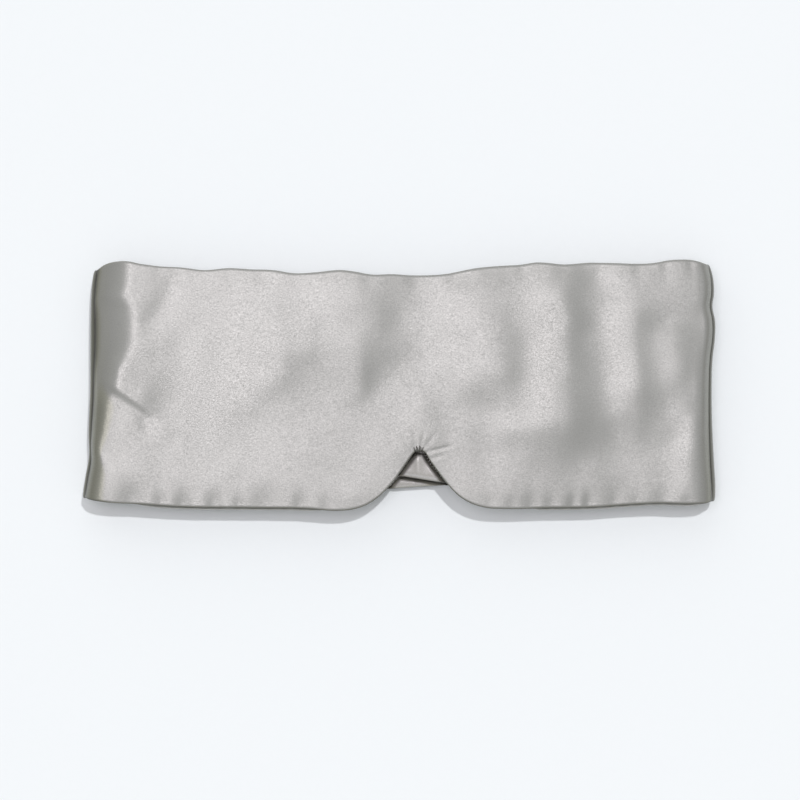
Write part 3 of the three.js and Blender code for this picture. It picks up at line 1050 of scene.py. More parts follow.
def build_plain_weave():
    """Plain weave: two crossing sets of threads, for tapes, labels and interlining."""
    tree, start, end = group_tree(
        "plain_weave",
        (
            ("Vector", "NodeSocketVector", None),
            ("Threads", "NodeSocketFloat", 1800.0),
            ("Depth", "NodeSocketFloat", 0.2),
        ),
        (("Shade", "NodeSocketFloat"), ("Height", "NodeSocketFloat")),
    )
    waves_out = []
    for direction in ("X", "Y"):
        wave = node(
            tree, "ShaderNodeTexWave",
            {
                "Vector": start.outputs["Vector"], "Scale": start.outputs["Threads"],
                "Distortion": 0.6, "Detail": 1.0,
            },
            bands_direction=direction,
        )
        waves_out.append(wave.outputs["Fac"])
    height = math_node(tree, "MULTIPLY", *waves_out)
    fleck = scaled_noise(tree, start.outputs["Vector"], (1.0, 1.0, 1.0), 700.0, 2.0)
    shade = math_node(tree, "ADD", height, fleck)
    shade = math_node(tree, "SUBTRACT", shade, 0.8)
    shade = math_node(tree, "MULTIPLY", shade, start.outputs["Depth"])
    shade = math_node(tree, "ADD", shade, 1.0)
    tree.links.new(shade, end.inputs["Shade"])
    tree.links.new(height, end.inputs["Height"])
    return tree


def build_fibre_fluff():
    """Wadding: tangled fibres of two sizes."""
    tree, start, end = group_tree(
        "fibre_fluff",
        (("Vector", "NodeSocketVector", None), ("Depth", "NodeSocketFloat", 0.3)),
        (("Shade", "NodeSocketFloat"), ("Height", "NodeSocketFloat")),
    )
    place = start.outputs["Vector"]
    strands = scaled_noise(tree, place, (0.5, 2.6, 1.0), 420.0, 6.0)
    tangle = scaled_noise(tree, place, (2.4, 0.6, 1.0), 260.0, 6.0)
    height = math_node(tree, "MULTIPLY", strands, tangle)
    shade = math_node(tree, "SUBTRACT", height, 0.25)
    shade = math_node(tree, "MULTIPLY", shade, start.outputs["Depth"])
    shade = math_node(tree, "ADD", shade, 1.0)
    tree.links.new(shade, end.inputs["Shade"])
    tree.links.new(height, end.inputs["Height"])
    return tree


SHARED_EFFECTS = {
    "satin_weave": build_satin_weave,
    "plain_weave": build_plain_weave,
    "fibre_fluff": build_fibre_fluff,
}


def shared_effect(name):
    return bpy.data.node_groups.get(name) or SHARED_EFFECTS[name]()


def painted_shade_tint(tree, tint):
    """The satin's colour with painted shade, darker and more olive where seams and folds turn it
    from the light.
    """
    crease = node(
        tree, "ShaderNodeAttribute", attribute_type="GEOMETRY", attribute_name="painted_shade"
    ).outputs["Fac"]
    lit = math_node(tree, "SUBTRACT", 1.0, crease)
    cast = math_node(tree, "SUBTRACT", crease, SHADE_OLIVE_START)
    cast = math_node(tree, "MINIMUM", math_node(tree, "MAXIMUM", cast, 0.0), SHADE_OLIVE_MOST)
    blue = math_node(tree, "MULTIPLY", lit, math_node(tree, "SUBTRACT", 1.0, cast))
    share = node(tree, "ShaderNodeCombineXYZ", {"X": lit, "Y": lit, "Z": blue}).outputs[0]
    return node(
        tree, "ShaderNodeVectorMath", {0: tint, 1: share}, operation="MULTIPLY"
    ).outputs[0]


def cloth_material(name, colour, effect, effect_values, bump, shader_values):
    """A Principled material whose colour, gloss and bump come from a shared effect."""
    found = bpy.data.materials.get(name)
    if found:
        return found
    material = bpy.data.materials.new(name)
    material.use_nodes = True
    tree = material.node_tree
    shader = tree.nodes["Principled BSDF"]
    place = node(tree, "ShaderNodeTexCoord").outputs["Object"]
    group = node(tree, "ShaderNodeGroup", node_tree=shared_effect(effect))
    tree.links.new(place, group.inputs["Vector"])
    for key, value in effect_values.items():
        group.inputs[key].default_value = value
    tint = node(
        tree, "ShaderNodeVectorMath",
        {0: tuple(colour[:3]), "Scale": group.outputs["Shade"]}, operation="SCALE",
    ).outputs[0]
    if effect == "satin_weave":
        tint = painted_shade_tint(tree, tint)
    tree.links.new(tint, shader.inputs["Base Color"])
    if "Metal" in group.outputs:
        tree.links.new(group.outputs["Metal"], shader.inputs["Metallic"])
    raised = node(
        tree, "ShaderNodeBump",
        {"Strength": bump[0], "Distance": bump[1], "Height": group.outputs["Height"]},
    )
    tree.links.new(raised.outputs[0], shader.inputs["Normal"])
    for key, value in shader_values.items():
        shader.inputs[key].default_value = value
    return material


def face_satin():
    colours = bpy.context.scene.sleep_mask_colours
    return cloth_material(
        "grey_face_satin", colours.satin, "satin_weave",
        {"Float Length": 1300.0, "Glitter": 0.44, "Gloss": 0.40, "Mottle": 0.08, "Grain": 0.23},
        (0.1, 0.0001),
        {
            "Roughness": 0.34, "Anisotropic": 0.2, "Sheen Weight": 0.05, "Sheen Roughness": 0.4,
        },
    )


def lining_satin():
    colours = bpy.context.scene.sleep_mask_colours
    return cloth_material(
        "grey_lining_satin", colours.lining, "satin_weave",
        {"Float Length": 1300.0, "Glitter": 0.42, "Gloss": 0.36, "Mottle": 0.08, "Grain": 0.23},
        (0.1, 0.0001),
        {
            "Roughness": 0.36, "Anisotropic": 0.2, "Sheen Weight": 0.05, "Sheen Roughness": 0.4,
        },
    )


def wadding_fibre():
    return cloth_material(
        "white_wadding_fibre", bpy.context.scene.sleep_mask_colours.wadding, "fibre_fluff",
        {"Depth": 0.5}, (0.8, 0.001),
        {"Roughness": 0.95, "Sheen Weight": 0.3, "Sheen Roughness": 0.6},
    )


def blackout_cloth():
    return cloth_material(
        "black_interlining_cloth", bpy.context.scene.sleep_mask_colours.blackout, "plain_weave",
        {"Threads": 500.0, "Depth": 0.5}, (0.3, 0.0002),
        {"Roughness": 0.85, "Sheen Weight": 0.1, "Sheen Roughness": 0.5},
    )


def tape_cloth():
    return cloth_material(
        "grey_closure_tape", bpy.context.scene.sleep_mask_colours.tape, "plain_weave",
        {"Threads": 420.0, "Depth": 0.6}, (0.5, 0.0003),
        {"Roughness": 0.7, "Sheen Weight": 0.15, "Sheen Roughness": 0.5},
    )


def thread_material():
    return cloth_material(
        "sewing_thread", bpy.context.scene.sleep_mask_colours.thread, "plain_weave",
        {"Threads": 1500.0, "Depth": 0.5}, (0.4, 0.0001),
        {"Roughness": 0.55, "Sheen Weight": 0.2, "Sheen Roughness": 0.4},
    )


def tack_thread():
    return cloth_material(
        "dark_tack_thread", bpy.context.scene.sleep_mask_colours.tack, "plain_weave",
        {"Threads": 1500.0, "Depth": 0.5}, (0.4, 0.0001),
        {"Roughness": 0.6, "Sheen Weight": 0.1, "Sheen Roughness": 0.4},
    )


def label_cloth():
    return cloth_material(
        "blank_label_cloth", bpy.context.scene.sleep_mask_colours.label, "plain_weave",
        {"Threads": 700.0, "Depth": 0.2}, (0.3, 0.0001),
        {"Roughness": 0.5, "Sheen Weight": 0.2, "Sheen Roughness": 0.4},
    )


def paint(piece, material):
    piece.data.materials.clear()
    piece.data.materials.append(material)


# ---------------------------------------------------------------- settings


class SleepMaskSizes(bpy.types.PropertyGroup):
    satin_thickness: bpy.props.FloatProperty(
        name="Satin thickness", description="Thickness of the satin and of the lining",
        default=0.35 * MM, min=0.1 * MM, unit="LENGTH", precision=5,
    )
    interlining_thickness: bpy.props.FloatProperty(
        name="Interlining thickness", description="Thickness of the blackout cloth",
        default=0.18 * MM, min=0.05 * MM, unit="LENGTH", precision=5,
    )
    wadding_gap: bpy.props.FloatProperty(
        name="Wadding depth", description="How far the wadding lies below the satin",
        default=0.75 * MM, min=0.4 * MM, unit="LENGTH", precision=5,
    )
    wadding_inset: bpy.props.FloatProperty(
        name="Wadding inset", description="How far inside the edge seam the wadding ends",
        default=1.2 * MM, min=0.2 * MM, unit="LENGTH", precision=5,
    )
    thread_width: bpy.props.FloatProperty(
        name="Thread width", description="Width of the sewing thread",
        default=0.34 * MM, min=0.1 * MM, unit="LENGTH", precision=5,
    )
    hook_pitch: bpy.props.FloatProperty(
        name="Hook spacing", description="Distance between the hooks of the hook tape",
        default=1.7 * MM, min=0.8 * MM, unit="LENGTH", precision=5,
    )
    loop_pitch: bpy.props.FloatProperty(
        name="Loop spacing", description="Distance between the loops of the loop tape",
        default=1.6 * MM, min=0.8 * MM, unit="LENGTH", precision=5,
    )


def colour_property(name, description, default):
    return bpy.props.FloatVectorProperty(
        name=name, description=description, default=default, subtype="COLOR", size=3,
        min=0.0, max=1.0,
    )


class SleepMaskColours(bpy.types.PropertyGroup):
    satin: colour_property("Satin", "Grey satin of the outer faces", (0.336, 0.336, 0.324))
    lining: colour_property("Lining", "Satin of the inner faces", (0.58, 0.558, 0.547))
    wadding: colour_property("Wadding", "White fibre filling", (0.86, 0.85, 0.82))
    blackout: colour_property("Blackout cloth", "Light-blocking cloth", (0.02, 0.02, 0.024))
    tape: colour_property("Closure tape", "Hook and loop tapes", (0.34, 0.335, 0.325))
    thread: colour_property("Thread", "Sewing thread", (0.30, 0.295, 0.28))
    tack: colour_property("Tack thread", "Dark thread of the notch tack", (0.05, 0.047, 0.036))
    label: colour_property("Label", "Blank care label", (0.85, 0.84, 0.81))
    floor: colour_property("Floor", "Pale surface under the mask", (0.83, 0.86, 0.885))


# ---------------------------------------------------------------- stage


def aimed_light(name, kind, place, target, energy, **settings):
    data = bpy.data.lights.new(name, kind)
    data.energy = energy
    for key, value in settings.items():
        setattr(data, key, value)
    light = bpy.data.objects.new(name, data)
    bpy.context.scene.collection.objects.link(light)
    light.location = place
    light.rotation_euler = (Vector(target) - Vector(place)).to_track_quat("-Z", "Y").to_euler()
    return light


def floor_material(colour):
    material = bpy.data.materials.new("pale_surface")
    material.use_nodes = True
    tree = material.node_tree
    shader = tree.nodes["Principled BSDF"]
    place = node(tree, "ShaderNodeTexCoord").outputs["Object"]
    speck = scaled_noise(tree, place, (1.0, 1.0, 1.0), 300.0, 2.0)
    shade = math_node(tree, "MULTIPLY", math_node(tree, "SUBTRACT", speck, 0.5), 0.01)
    shade = math_node(tree, "ADD", shade, 1.0)
    tint = node(
        tree, "ShaderNodeVectorMath", {0: tuple(colour), "Scale": shade}, operation="SCALE"
    )
    tree.links.new(tint.outputs[0], shader.inputs["Base Color"])
    shader.inputs["Roughness"].default_value = 0.9
    shader.inputs["Specular IOR Level"].default_value = 0.1
    return material


class SLEEPMASK_OT_stage(bpy.types.Operator):
    """Add the camera, the pale floor and soft studio light"""

    bl_idname = "sleepmask.stage"
    bl_label = "Camera, Floor and Light"

    VIEW_WIDTH = 0.328
    CAMERA_HEIGHT = 1.5
    CAMERA_PLACE = (0.0002, -0.0054)
    SENSOR_WIDTH = 36.0
    FLOOR_SIZE = 8.0
    FLOOR_DROP = 0.0003
    # What the lights point at, and the walls' colour low down and high up.
    TARGET = (0, 0, 0.01)
    LOW_WALLS = (0.56, 0.545, 0.39, 1.0)
    HIGH_WALLS = (1.12, 1.15, 1.19, 1.0)
    WALLS_STRENGTH = 0.47

    def execute(self, context):
        self.add_camera(context)
        self.add_floor()
        self.add_lights(context)
        return {"FINISHED"}

    def add_camera(self, context):
        data = bpy.data.cameras.new("camera")
        data.sensor_width = self.SENSOR_WIDTH
        data.lens = data.sensor_width * (self.CAMERA_HEIGHT - FACE_Z * MM) / self.VIEW_WIDTH
        camera = bpy.data.objects.new("camera", data)
        context.scene.collection.objects.link(camera)
        camera.location = (*self.CAMERA_PLACE, self.CAMERA_HEIGHT)
        context.scene.camera = camera

    def add_floor(self):
        bpy.ops.mesh.primitive_plane_add(
            size=self.FLOOR_SIZE, location=(0, 0, -self.FLOOR_DROP)
        )
        floor = bpy.context.object
        floor.name = "floor"
        paint(floor, floor_material(bpy.context.scene.sleep_mask_colours.floor))

    def add_lights(self, context):
        key = aimed_light(
            "key_sun", "SUN", (0.15, 0.325, 1.0), self.TARGET, 1.25, angle=math.radians(1.8)
        )
        key.visible_glossy = False
        aimed_light(
            "overhead_box", "SUN", (-0.15, 0.07, 1.0), self.TARGET, 0.755,
            angle=math.radians(26.0), color=(1.0, 0.945, 0.985),
        )
        aimed_light(
            "back_box", "SUN", (-0.28, 0.8, 0.5), self.TARGET, 0.36, angle=math.radians(64.0)
        )
        world = bpy.data.worlds.new("studio")
        world.use_nodes = True
        tree = world.node_tree
        way = node(tree, "ShaderNodeTexCoord").outputs["Generated"]
        up = node(tree, "ShaderNodeSeparateXYZ", {"Vector": way}).outputs["Z"]
        walls = node(
            tree, "ShaderNodeMix",
            {"Factor": up, 6: self.LOW_WALLS, 7: self.HIGH_WALLS},
            data_type="RGBA", clamp_factor=True,
        )
        background = tree.nodes["Background"]
        tree.links.new(walls.outputs[2], background.inputs["Color"])
        background.inputs["Strength"].default_value = self.WALLS_STRENGTH
        context.scene.world = world
        context.scene.view_settings.view_transform = "Standard"
        context.scene.view_settings.look = "None"


# ---------------------------------------------------------------- front panel

FRONT_COLUMNS, FRONT_ROWS = 318, 116
HIDDEN_COLUMNS, HIDDEN_ROWS = 130, 40
WING_COLUMNS, WING_ROWS = 210, 120
# Room between the face's satin and the blackout cloth.
BLACKOUT_GAP = 0.08


class SLEEPMASK_OT_front_panel(bpy.types.Operator):
    """Make the front panel: satin face, blackout cloth, wadding and lining"""

    bl_idname = "sleepmask.front_panel"
    bl_label = "Front Panel"

    def execute(self, context):
        sizes = context.scene.sleep_mask_sizes
        settled = SettledCloth()
        shown = Front().place(FRONT_COLUMNS, FRONT_ROWS, 0.0, settled=settled)
        hidden = Front().place(
            HIDDEN_COLUMNS, HIDDEN_ROWS, sizes.wadding_inset / MM, settled=settled
        )
        satin = cloth_sheet(
            "front_satin_face", shown.outer, sizes.satin_thickness, False, shown.outer_painted_shade()
        )
        paint(satin, face_satin())
        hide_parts("front_outer_satin")
        coarse = Front().place(HIDDEN_COLUMNS, HIDDEN_ROWS, 0.0)
        lining = cloth_sheet(
            "front_satin_lining", coarse.inner, sizes.satin_thickness, True, coarse.inner_painted_shade()
        )
        paint(lining, lining_satin())
        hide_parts("front_inner_satin")
        below_satin = sizes.satin_thickness / MM + BLACKOUT_GAP
        blackout = cloth_sheet(
            "front_blackout_cloth", toward_middle(hidden.outer, hidden.middle, below_satin),
            sizes.interlining_thickness, False,
        )
        paint(blackout, blackout_cloth())
        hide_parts("front_blackout_interlining")
        wadding = wadding_between("front_wadding_pad", hidden, sizes, False)
        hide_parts("front_wadding")
        for piece in (satin, lining, blackout, wadding):
            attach(piece, "front")
        return {"FINISHED"}


def wadding_between(name, member, sizes, flip):
    depth = sizes.wadding_gap / MM
    top = toward_middle(member.outer, member.middle, depth)
    bottom = toward_middle(member.inner, member.middle, depth)
    wadding = stuffed_block(name, top, bottom, flip)
    paint(wadding, wadding_fibre())
    return wadding


# ---------------------------------------------------------------- wings


def fold_blend(piece, joint):
    """Puts the piece's place into its mesh. The fold's pivot and axis are read but not used."""
    pivot = Vector(joint["pos_m"])
    axis = Vector(joint["axis"])
    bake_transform(piece)


def make_wing(context, member_class, body, side, joint):
    sizes = context.scene.sleep_mask_sizes
    shown = member_class().place(WING_COLUMNS, WING_ROWS, 0.0)
    hidden = member_class().place(WING_COLUMNS // 2, WING_ROWS // 2, sizes.wadding_inset / MM)
    upper = Wing.ROLL_COLUMNS[0]
    flip_outer = side < 0
    satin = cloth_sheet(
        f"{body}_satin_face", shown.outer, sizes.satin_thickness, flip_outer, shown.outer_painted_shade()
    )
    paint(satin, face_satin())
    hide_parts(f"{body}_outer_satin")
    lining = cloth_sheet(
        f"{body}_satin_lining", shown.inner[upper:], sizes.satin_thickness, not flip_outer,
        shown.inner_painted_shade()[upper:],
    )
    paint(lining, lining_satin())
    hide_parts(f"{body}_inner_satin")
    hidden.outer, hidden.inner = hidden.outer[upper + 2:], hidden.inner[upper + 2:]
    hidden.middle = hidden.middle[upper + 2:]
    wadding = wadding_between(f"{body}_wadding_pad", hidden, sizes, flip_outer)
    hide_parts(f"{body}_wadding")
    for piece in (satin, lining, wadding):
        fold_blend(piece, joint)


class SLEEPMASK_OT_left_wing(bpy.types.Operator):
    """Make the left wing: satin, wadding and lining, rolled round the left fold"""

    bl_idname = "sleepmask.left_wing"
    bl_label = "Left Wing"

    def execute(self, context):
        make_wing(context, left_wing_member, "left_wing", -1, LEFT_FOLD)
        return {"FINISHED"}


class SLEEPMASK_OT_right_wing(bpy.types.Operator):
    """Make the right wing: satin, wadding and lining, rolled round the right fold"""

    bl_idname = "sleepmask.right_wing"
    bl_label = "Right Wing"

    def execute(self, context):
        make_wing(context, right_wing_member, "right_wing", 1, RIGHT_FOLD)
        return {"FINISHED"}


# ---------------------------------------------------------------- closure tapes

# A tape's round corners, its thickness, where its hooks or loops start in from its edges, where
# its stitches run, and how tall a hook stands.
TAPE_CORNER = 4.0
TAPE_EDGE_ROUND = 0.16
TAPE_BASE = 0.5
FIELD_INSET = 3.8
STITCH_INSET = 1.9
STITCH_LENGTH = 2.3
STITCH_GAP = 0.9
STITCH_PROUD = 0.05
HOOK_HEIGHT = 0.62
# A hook's stem has this many sides, radius and foot. Each step takes it some way sideways and a
# share of its height up, and narrows it.
HOOK_SIDES = 5
HOOK_RADIUS = 0.17
HOOK_FOOT = 0.12
HOOK_STEPS = ((0, 0.5), (0.1, 0.3), (0.26, 0.06), (0.2, -0.3))
HOOK_TAPER = 0.86


def edit_whole(piece):
    only(piece)
    bpy.ops.object.mode_set(mode="EDIT")
    bpy.ops.mesh.select_all(action="SELECT")


def leave_edit():
    bpy.ops.object.mode_set(mode="OBJECT")


def settle_place(piece, name):
    """Puts a finished piece's place into its mesh, and names both."""
    only(piece)
    bpy.ops.object.transform_apply(location=True, rotation=True, scale=True)
    piece.name = name
    piece.data.name = name


def tape_base(name, low, high, z_low, z_high):
    """A flat tape with round corners and soft long edges."""
    size = Vector((high[0] - low[0], high[1] - low[1], z_high - z_low)) * MM
    place = Vector(((high[0] + low[0]) / 2, (high[1] + low[1]) / 2, (z_high + z_low) / 2)) * MM
    bpy.ops.mesh.primitive_cube_add(size=1, location=place)
    piece = bpy.context.object
    piece.scale = size
    bpy.ops.object.transform_apply(location=False, rotation=False, scale=True)
    edit_whole(piece)
    bpy.ops.mesh.select_mode(type="EDGE")
    bpy.ops.mesh.select_all(action="DESELECT")
    leave_edit()
    for edge in piece.data.edges:
        a, b = (piece.data.vertices[i].co for i in edge.vertices)
        edge.select = abs(a.z - b.z) > size.z / 2
    bpy.ops.object.mode_set(mode="EDIT")
    bpy.ops.mesh.bevel(offset=TAPE_CORNER * MM, segments=6, affect="EDGES")
    leave_edit()
    for edge in piece.data.edges:
        a, b = (piece.data.vertices[i].co for i in edge.vertices)
        edge.select = abs(a.z - b.z) < size.z / 2
    bpy.ops.object.mode_set(mode="EDIT")
    bpy.ops.mesh.bevel(offset=TAPE_EDGE_ROUND * MM, segments=2, affect="EDGES")
    leave_edit()
    settle_place(piece, name)
    bpy.ops.object.shade_smooth_by_angle(angle=math.radians(40))
    paint(piece, tape_cloth())
    return piece


def repeat_over(piece, pitch, columns, rows):
    """Copies a small shape over a field of columns by rows."""
    for name, count, step in (("across", columns, (pitch, 0, 0)), ("along", rows, (0, pitch, 0))):
        array = piece.modifiers.new(name, "ARRAY")
        array.count = count
        array.use_relative_offset = False
        array.use_constant_offset = True
        array.constant_offset_displace = step
    apply_modifiers(piece)


def field_count(low, high, inset, pitch):
    return tuple(int((high[i] - low[i] - 2 * inset) * MM / pitch) + 1 for i in (0, 1))


def stitch_line(name, low, high, z, width, body):
    """Thread stitches round a tape: one stitch made once, and copied along its rounded path."""
    bpy.ops.mesh.primitive_cylinder_add(
        vertices=8, radius=width / 2, depth=STITCH_LENGTH * MM
    )
    stitch = bpy.context.object
    edit_whole(stitch)
    bpy.ops.transform.rotate(
        value=math.pi / 2, orient_axis="Y", orient_type="GLOBAL", center_override=(0, 0, 0)
    )
    bpy.ops.mesh.select_all(action="DESELECT")
    leave_edit()
    for polygon in stitch.data.polygons:
        polygon.select = abs(polygon.normal.x) > 0.9
    bpy.ops.object.mode_set(mode="EDIT")
    bpy.ops.mesh.select_mode(type="FACE")
    bpy.ops.mesh.bevel(offset=width * 0.3, segments=2, affect="EDGES")
    leave_edit()
    copies = []
    for x, y, angle in round_path(low, high, STITCH_INSET, STITCH_LENGTH + STITCH_GAP):
        copy = stitch.copy()
        copy.data = stitch.data.copy()
        bpy.context.scene.collection.objects.link(copy)
        turn = Matrix.Rotation(angle, 4, "Z")
        copy.data.transform(Matrix.Translation(Vector((x, y, z)) * MM) @ turn)
        copies.append(copy)
    bpy.data.objects.remove(stitch)
    bpy.ops.object.select_all(action="DESELECT")
    for copy in copies:
        copy.select_set(True)
    bpy.context.view_layer.objects.active = copies[0]
    bpy.ops.object.join()
    line = bpy.context.object
    line.name = line.data.name = name
    bpy.ops.object.shade_smooth_by_angle(angle=math.radians(50))
    paint(line, thread_material())
    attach(line, body)
    return line


def round_path(low, high, inset, step):
    """Places and directions along a rounded rectangle, a step apart."""
    x1, y1, x2, y2 = low[0] + inset, low[1] + inset, high[0] - inset, high[1] - inset
    corner = TAPE_CORNER - inset * 0.5
    points = []
    for cx, cy, first in (
        (x2 - corner, y1 + corner, -90), (x2 - corner, y2 - corner, 0),
        (x1 + corner, y2 - corner, 90), (x1 + corner, y1 + corner, 180),
    ):
        for degrees in range(first, first + 91, 15):
            angle = math.radians(degrees)
            points.append((cx + corner * math.cos(angle), cy + corner * math.sin(angle)))
    points.append(points[0])
    path = np.array(points)
    lengths = np.concatenate([[0], np.cumsum(np.linalg.norm(np.diff(path, axis=0), axis=1))])
    count = int(round(lengths[-1] / step))
    for k in range(count):
        at = lengths[-1] * (k + 0.5) / count
        x, y = (float(np.interp(at, lengths, path[:, axis])) for axis in (0, 1))
        ahead = [float(np.interp(min(at + 0.3, lengths[-1]), lengths, path[:, a])) for a in (0, 1)]
        yield x, y, math.atan2(ahead[1] - y, ahead[0] - x)


class SLEEPMASK_OT_hook_tape(bpy.types.Operator):
    """Make the hook tape, its hooks and its stitching"""

    bl_idname = "sleepmask.hook_tape"
    bl_label = "Hook Tape"

    def execute(self, context):
        sizes = context.scene.sleep_mask_sizes
        low, high = HOOK_LOW, HOOK_HIGH
        top = low[2] + TAPE_BASE
        base = tape_base("hook_tape_base", low, high, low[2], top)
        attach(base, "left_wing")
        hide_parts("hook_tape")
        self.add_hooks(low, high, top, sizes.hook_pitch)
        line = stitch_line(
            "hook_tape_stitches", low, high, top + STITCH_PROUD, sizes.thread_width, "left_wing"
        )
        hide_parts("hook_tape_stitching")
        return {"FINISHED"}

    def add_hooks(self, low, high, top, pitch):
        """One small hook: a stem extruded up and then bent over, made once and repeated."""
        place = Vector((low[0] + FIELD_INSET, low[1] + FIELD_INSET, top)) * MM
        bpy.ops.mesh.primitive_cylinder_add(
            vertices=HOOK_SIDES, radius=HOOK_RADIUS * MM, depth=HOOK_FOOT * MM, location=place
        )
        hook = bpy.context.object
        bpy.ops.object.transform_apply(location=True, rotation=False, scale=False)
        for polygon in hook.data.polygons:
            polygon.select = polygon.normal.z > 0.9
        for edge in hook.data.edges:
            edge.select = False
        for vertex in hook.data.vertices:
            vertex.select = vertex.co.z > place.z
        bpy.ops.object.mode_set(mode="EDIT")
        bpy.ops.mesh.select_mode(type="FACE")
        rise = HOOK_HEIGHT * MM
        for sideways, up in HOOK_STEPS:
            step = (sideways * MM, 0, up * rise)
            bpy.ops.mesh.extrude_region_move(TRANSFORM_OT_translate={"value": step})
            bpy.ops.transform.resize(value=(HOOK_TAPER, HOOK_TAPER, HOOK_TAPER))
        leave_edit()
        columns, rows = field_count(low, high, FIELD_INSET, pitch)
        repeat_over(hook, pitch, columns, rows)
        settle_place(hook, "hook_tape_hooks")
        bpy.ops.object.shade_smooth()
        paint(hook, tape_cloth())
        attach(hook, "left_wing")


class SLEEPMASK_OT_loop_tape(bpy.types.Operator):
    """Make the loop tape, its pile of loops and its stitching"""

    bl_idname = "sleepmask.loop_tape"
    bl_label = "Loop Tape"

    def execute(self, context):
        sizes = context.scene.sleep_mask_sizes
        low, high = LOOP_LOW, LOOP_HIGH
        under = high[2] - TAPE_BASE
        base = tape_base("loop_tape_base", low, high, under, high[2])
        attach(base, "right_wing")
        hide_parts("loop_tape")
        self.add_loops(low, high, under, sizes.loop_pitch)
        line = stitch_line(
            "loop_tape_stitches", low, high, under - STITCH_PROUD, sizes.thread_width,
            "right_wing",
        )
        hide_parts("loop_tape_stitching")
        return {"FINISHED"}

    def add_loops(self, low, high, under, pitch):
        """One low loop of fibre below the tape, made once and repeated."""
        place = Vector((low[0] + FIELD_INSET, low[1] + FIELD_INSET, under)) * MM
        bpy.ops.mesh.primitive_torus_add(
            major_segments=8, minor_segments=4, major_radius=0.42 * MM, minor_radius=0.12 * MM,
            location=(0, 0, 0),
        )
        loop = bpy.context.object
        edit_whole(loop)
        bpy.ops.transform.rotate(
            value=math.pi / 2, orient_axis="X", orient_type="GLOBAL", center_override=(0, 0, 0)
        )
        bpy.ops.transform.rotate(
            value=math.radians(35), orient_axis="Z", orient_type="GLOBAL",
            center_override=(0, 0, 0),
        )
        leave_edit()
        loop.location = place
        bpy.ops.object.transform_apply(location=True, rotation=True, scale=True)
        columns, rows = field_count(low, high, FIELD_INSET, pitch)
        repeat_over(loop, pitch, columns, rows)
        settle_place(loop, "loop_tape_pile")
        bpy.ops.object.shade_smooth()
        paint(loop, tape_cloth())
        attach(loop, "right_wing")


# ---------------------------------------------------------------- small sewn pieces


class SLEEPMASK_OT_notch_tack(bpy.types.Operator):
    """Make the tack at the top of the nose notch, from thread wound over the edge"""

    bl_idname = "sleepmask.notch_tack"
    bl_label = "Notch Tack"

    EDGE_Z = 17.7
    # Each turn of thread: how far along the edge, its lean in degrees, and its reach.
    TURNS = (
        (-1.7, 16, 1.0), (-0.95, -6, 1.25), (-0.35, 12, 1.0), (0.4, -3, 1.35),
        (1.0, 9, 1.15), (1.7, -14, 0.95),
    )

    def execute(self, context):
        width = context.scene.sleep_mask_sizes.thread_width
        bpy.ops.mesh.primitive_torus_add(
            major_segments=20, minor_segments=6, major_radius=1.0 * MM, minor_radius=width / 2.4
        )
        turn = bpy.context.object
        edit_whole(turn)
        bpy.ops.transform.rotate(
            value=math.pi / 2, orient_axis="Y", orient_type="GLOBAL", center_override=(0, 0, 0)
        )
        leave_edit()
        edge_y = float(Front().low_edge(np.array([NOTCH_X]))[0])
        copies = []
        for dx, lean, reach in self.TURNS:
            copy = turn.copy()
            copy.data = turn.data.copy()
            context.scene.collection.objects.link(copy)
            place = Vector((NOTCH_X + dx, edge_y + 0.85 * reach, self.EDGE_Z)) * MM
            tilt = Matrix.Rotation(math.radians(lean), 4, "Z")
            stretch = Matrix.Diagonal((1.0, reach, 1.8, 1.0))
            copy.data.transform(Matrix.Translation(place) @ tilt @ stretch)
            copies.append(copy)
        bpy.data.objects.remove(turn)
        bpy.ops.object.select_all(action="DESELECT")
        for copy in copies:
            copy.select_set(True)
        context.view_layer.objects.active = copies[0]
        bpy.ops.object.join()
        tack = context.object
        tack.name = tack.data.name = "nose_notch_tack_thread"
        bpy.ops.object.shade_smooth()
        paint(tack, tack_thread())
        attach(tack, "front")
        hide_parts("nose_notch_tack")
        return {"FINISHED"}


class SLEEPMASK_OT_care_label(bpy.types.Operator):
    """Make the blank woven label, a small soft strip sewn flat at one end"""

    bl_idname = "sleepmask.care_label"
    bl_label = "Care Label"

    def execute(self, context):
        low, high = LABEL_LOW, LABEL_HIGH
        columns = np.linspace(low[0], high[0], 22)
        rows = np.linspace(low[1], high[1], 34)
        x, y = np.meshgrid(columns, rows, indexing="ij")
        across = (x - low[0]) / (high[0] - low[0])
        z = high[2] - 0.02 + 0.10 * np.sin(math.pi * across) * np.sin((y - low[1]) * 0.28)
        points = np.stack([x, y, z], axis=-1)
        label = cloth_sheet("care_label_strip", points, 0.18 * MM, False)
        paint(label, label_cloth())
        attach(label, "left_wing")
        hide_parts("care_label")
        return {"FINISHED"}


# ---------------------------------------------------------------- add-on


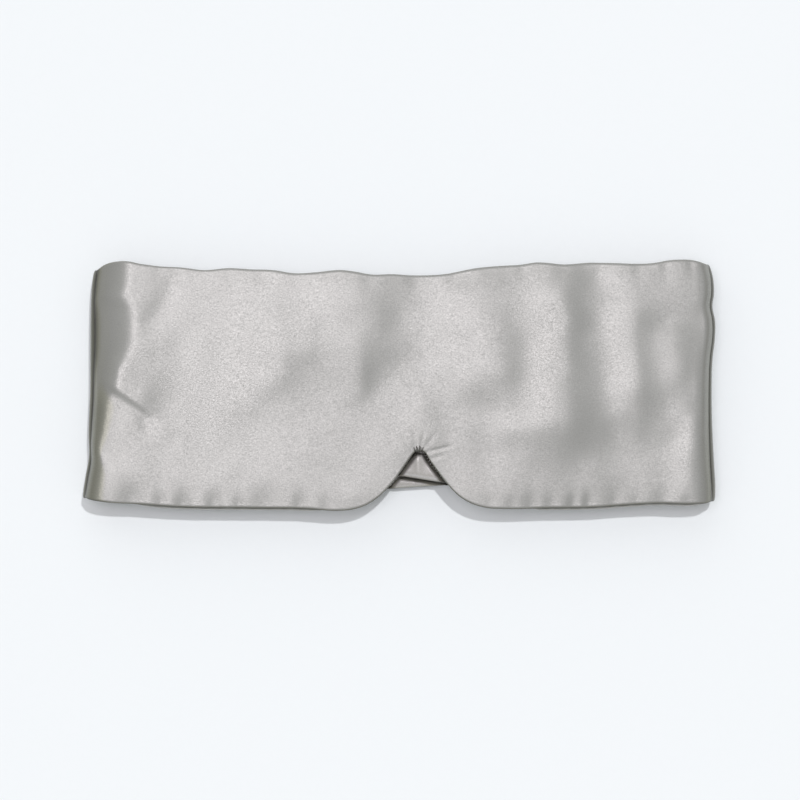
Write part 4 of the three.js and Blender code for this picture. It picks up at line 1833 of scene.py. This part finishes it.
class SLEEPMASK_PT_panel(bpy.types.Panel):
    """Sizes, colours and pieces of the sleep mask"""

    bl_idname = "SLEEPMASK_PT_panel"
    bl_label = "Satin Sleep Mask"
    bl_space_type = "VIEW_3D"
    bl_region_type = "UI"
    bl_category = "Sleep Mask"

    def draw(self, context):
        layout = self.layout
        for settings in (context.scene.sleep_mask_sizes, context.scene.sleep_mask_colours):
            box = layout.box()
            for name in settings.bl_rna.properties.keys():
                if name not in {"rna_type", "name"}:
                    box.prop(settings, name)
        for operator in PIECES_IN_ORDER:
            layout.operator(operator)


PIECES_IN_ORDER = (
    "sleepmask.stage",
    "sleepmask.front_panel",
    "sleepmask.left_wing",
    "sleepmask.right_wing",
    "sleepmask.hook_tape",
    "sleepmask.loop_tape",
    "sleepmask.notch_tack",
    "sleepmask.care_label",
)

CLASSES = (
    SleepMaskSizes,
    SleepMaskColours,
    SLEEPMASK_OT_stage,
    SLEEPMASK_OT_front_panel,
    SLEEPMASK_OT_left_wing,
    SLEEPMASK_OT_right_wing,
    SLEEPMASK_OT_hook_tape,
    SLEEPMASK_OT_loop_tape,
    SLEEPMASK_OT_notch_tack,
    SLEEPMASK_OT_care_label,
    SLEEPMASK_PT_panel,
)


def register():
    for cls in CLASSES:
        bpy.utils.register_class(cls)
    bpy.types.Scene.sleep_mask_sizes = bpy.props.PointerProperty(type=SleepMaskSizes)
    bpy.types.Scene.sleep_mask_colours = bpy.props.PointerProperty(type=SleepMaskColours)


def unregister():
    del bpy.types.Scene.sleep_mask_colours
    del bpy.types.Scene.sleep_mask_sizes
    for cls in reversed(CLASSES):
        bpy.utils.unregister_class(cls)


def main():
    register()
    bpy.ops.object.select_all(action="DESELECT")
    bpy.ops.sleepmask.stage()
    bpy.ops.sleepmask.front_panel()
    bpy.ops.sleepmask.left_wing()
    bpy.ops.sleepmask.right_wing()
    bpy.ops.sleepmask.hook_tape()
    bpy.ops.sleepmask.loop_tape()
    bpy.ops.sleepmask.notch_tack()
    bpy.ops.sleepmask.care_label()


if __name__ == "__main__":
    main()
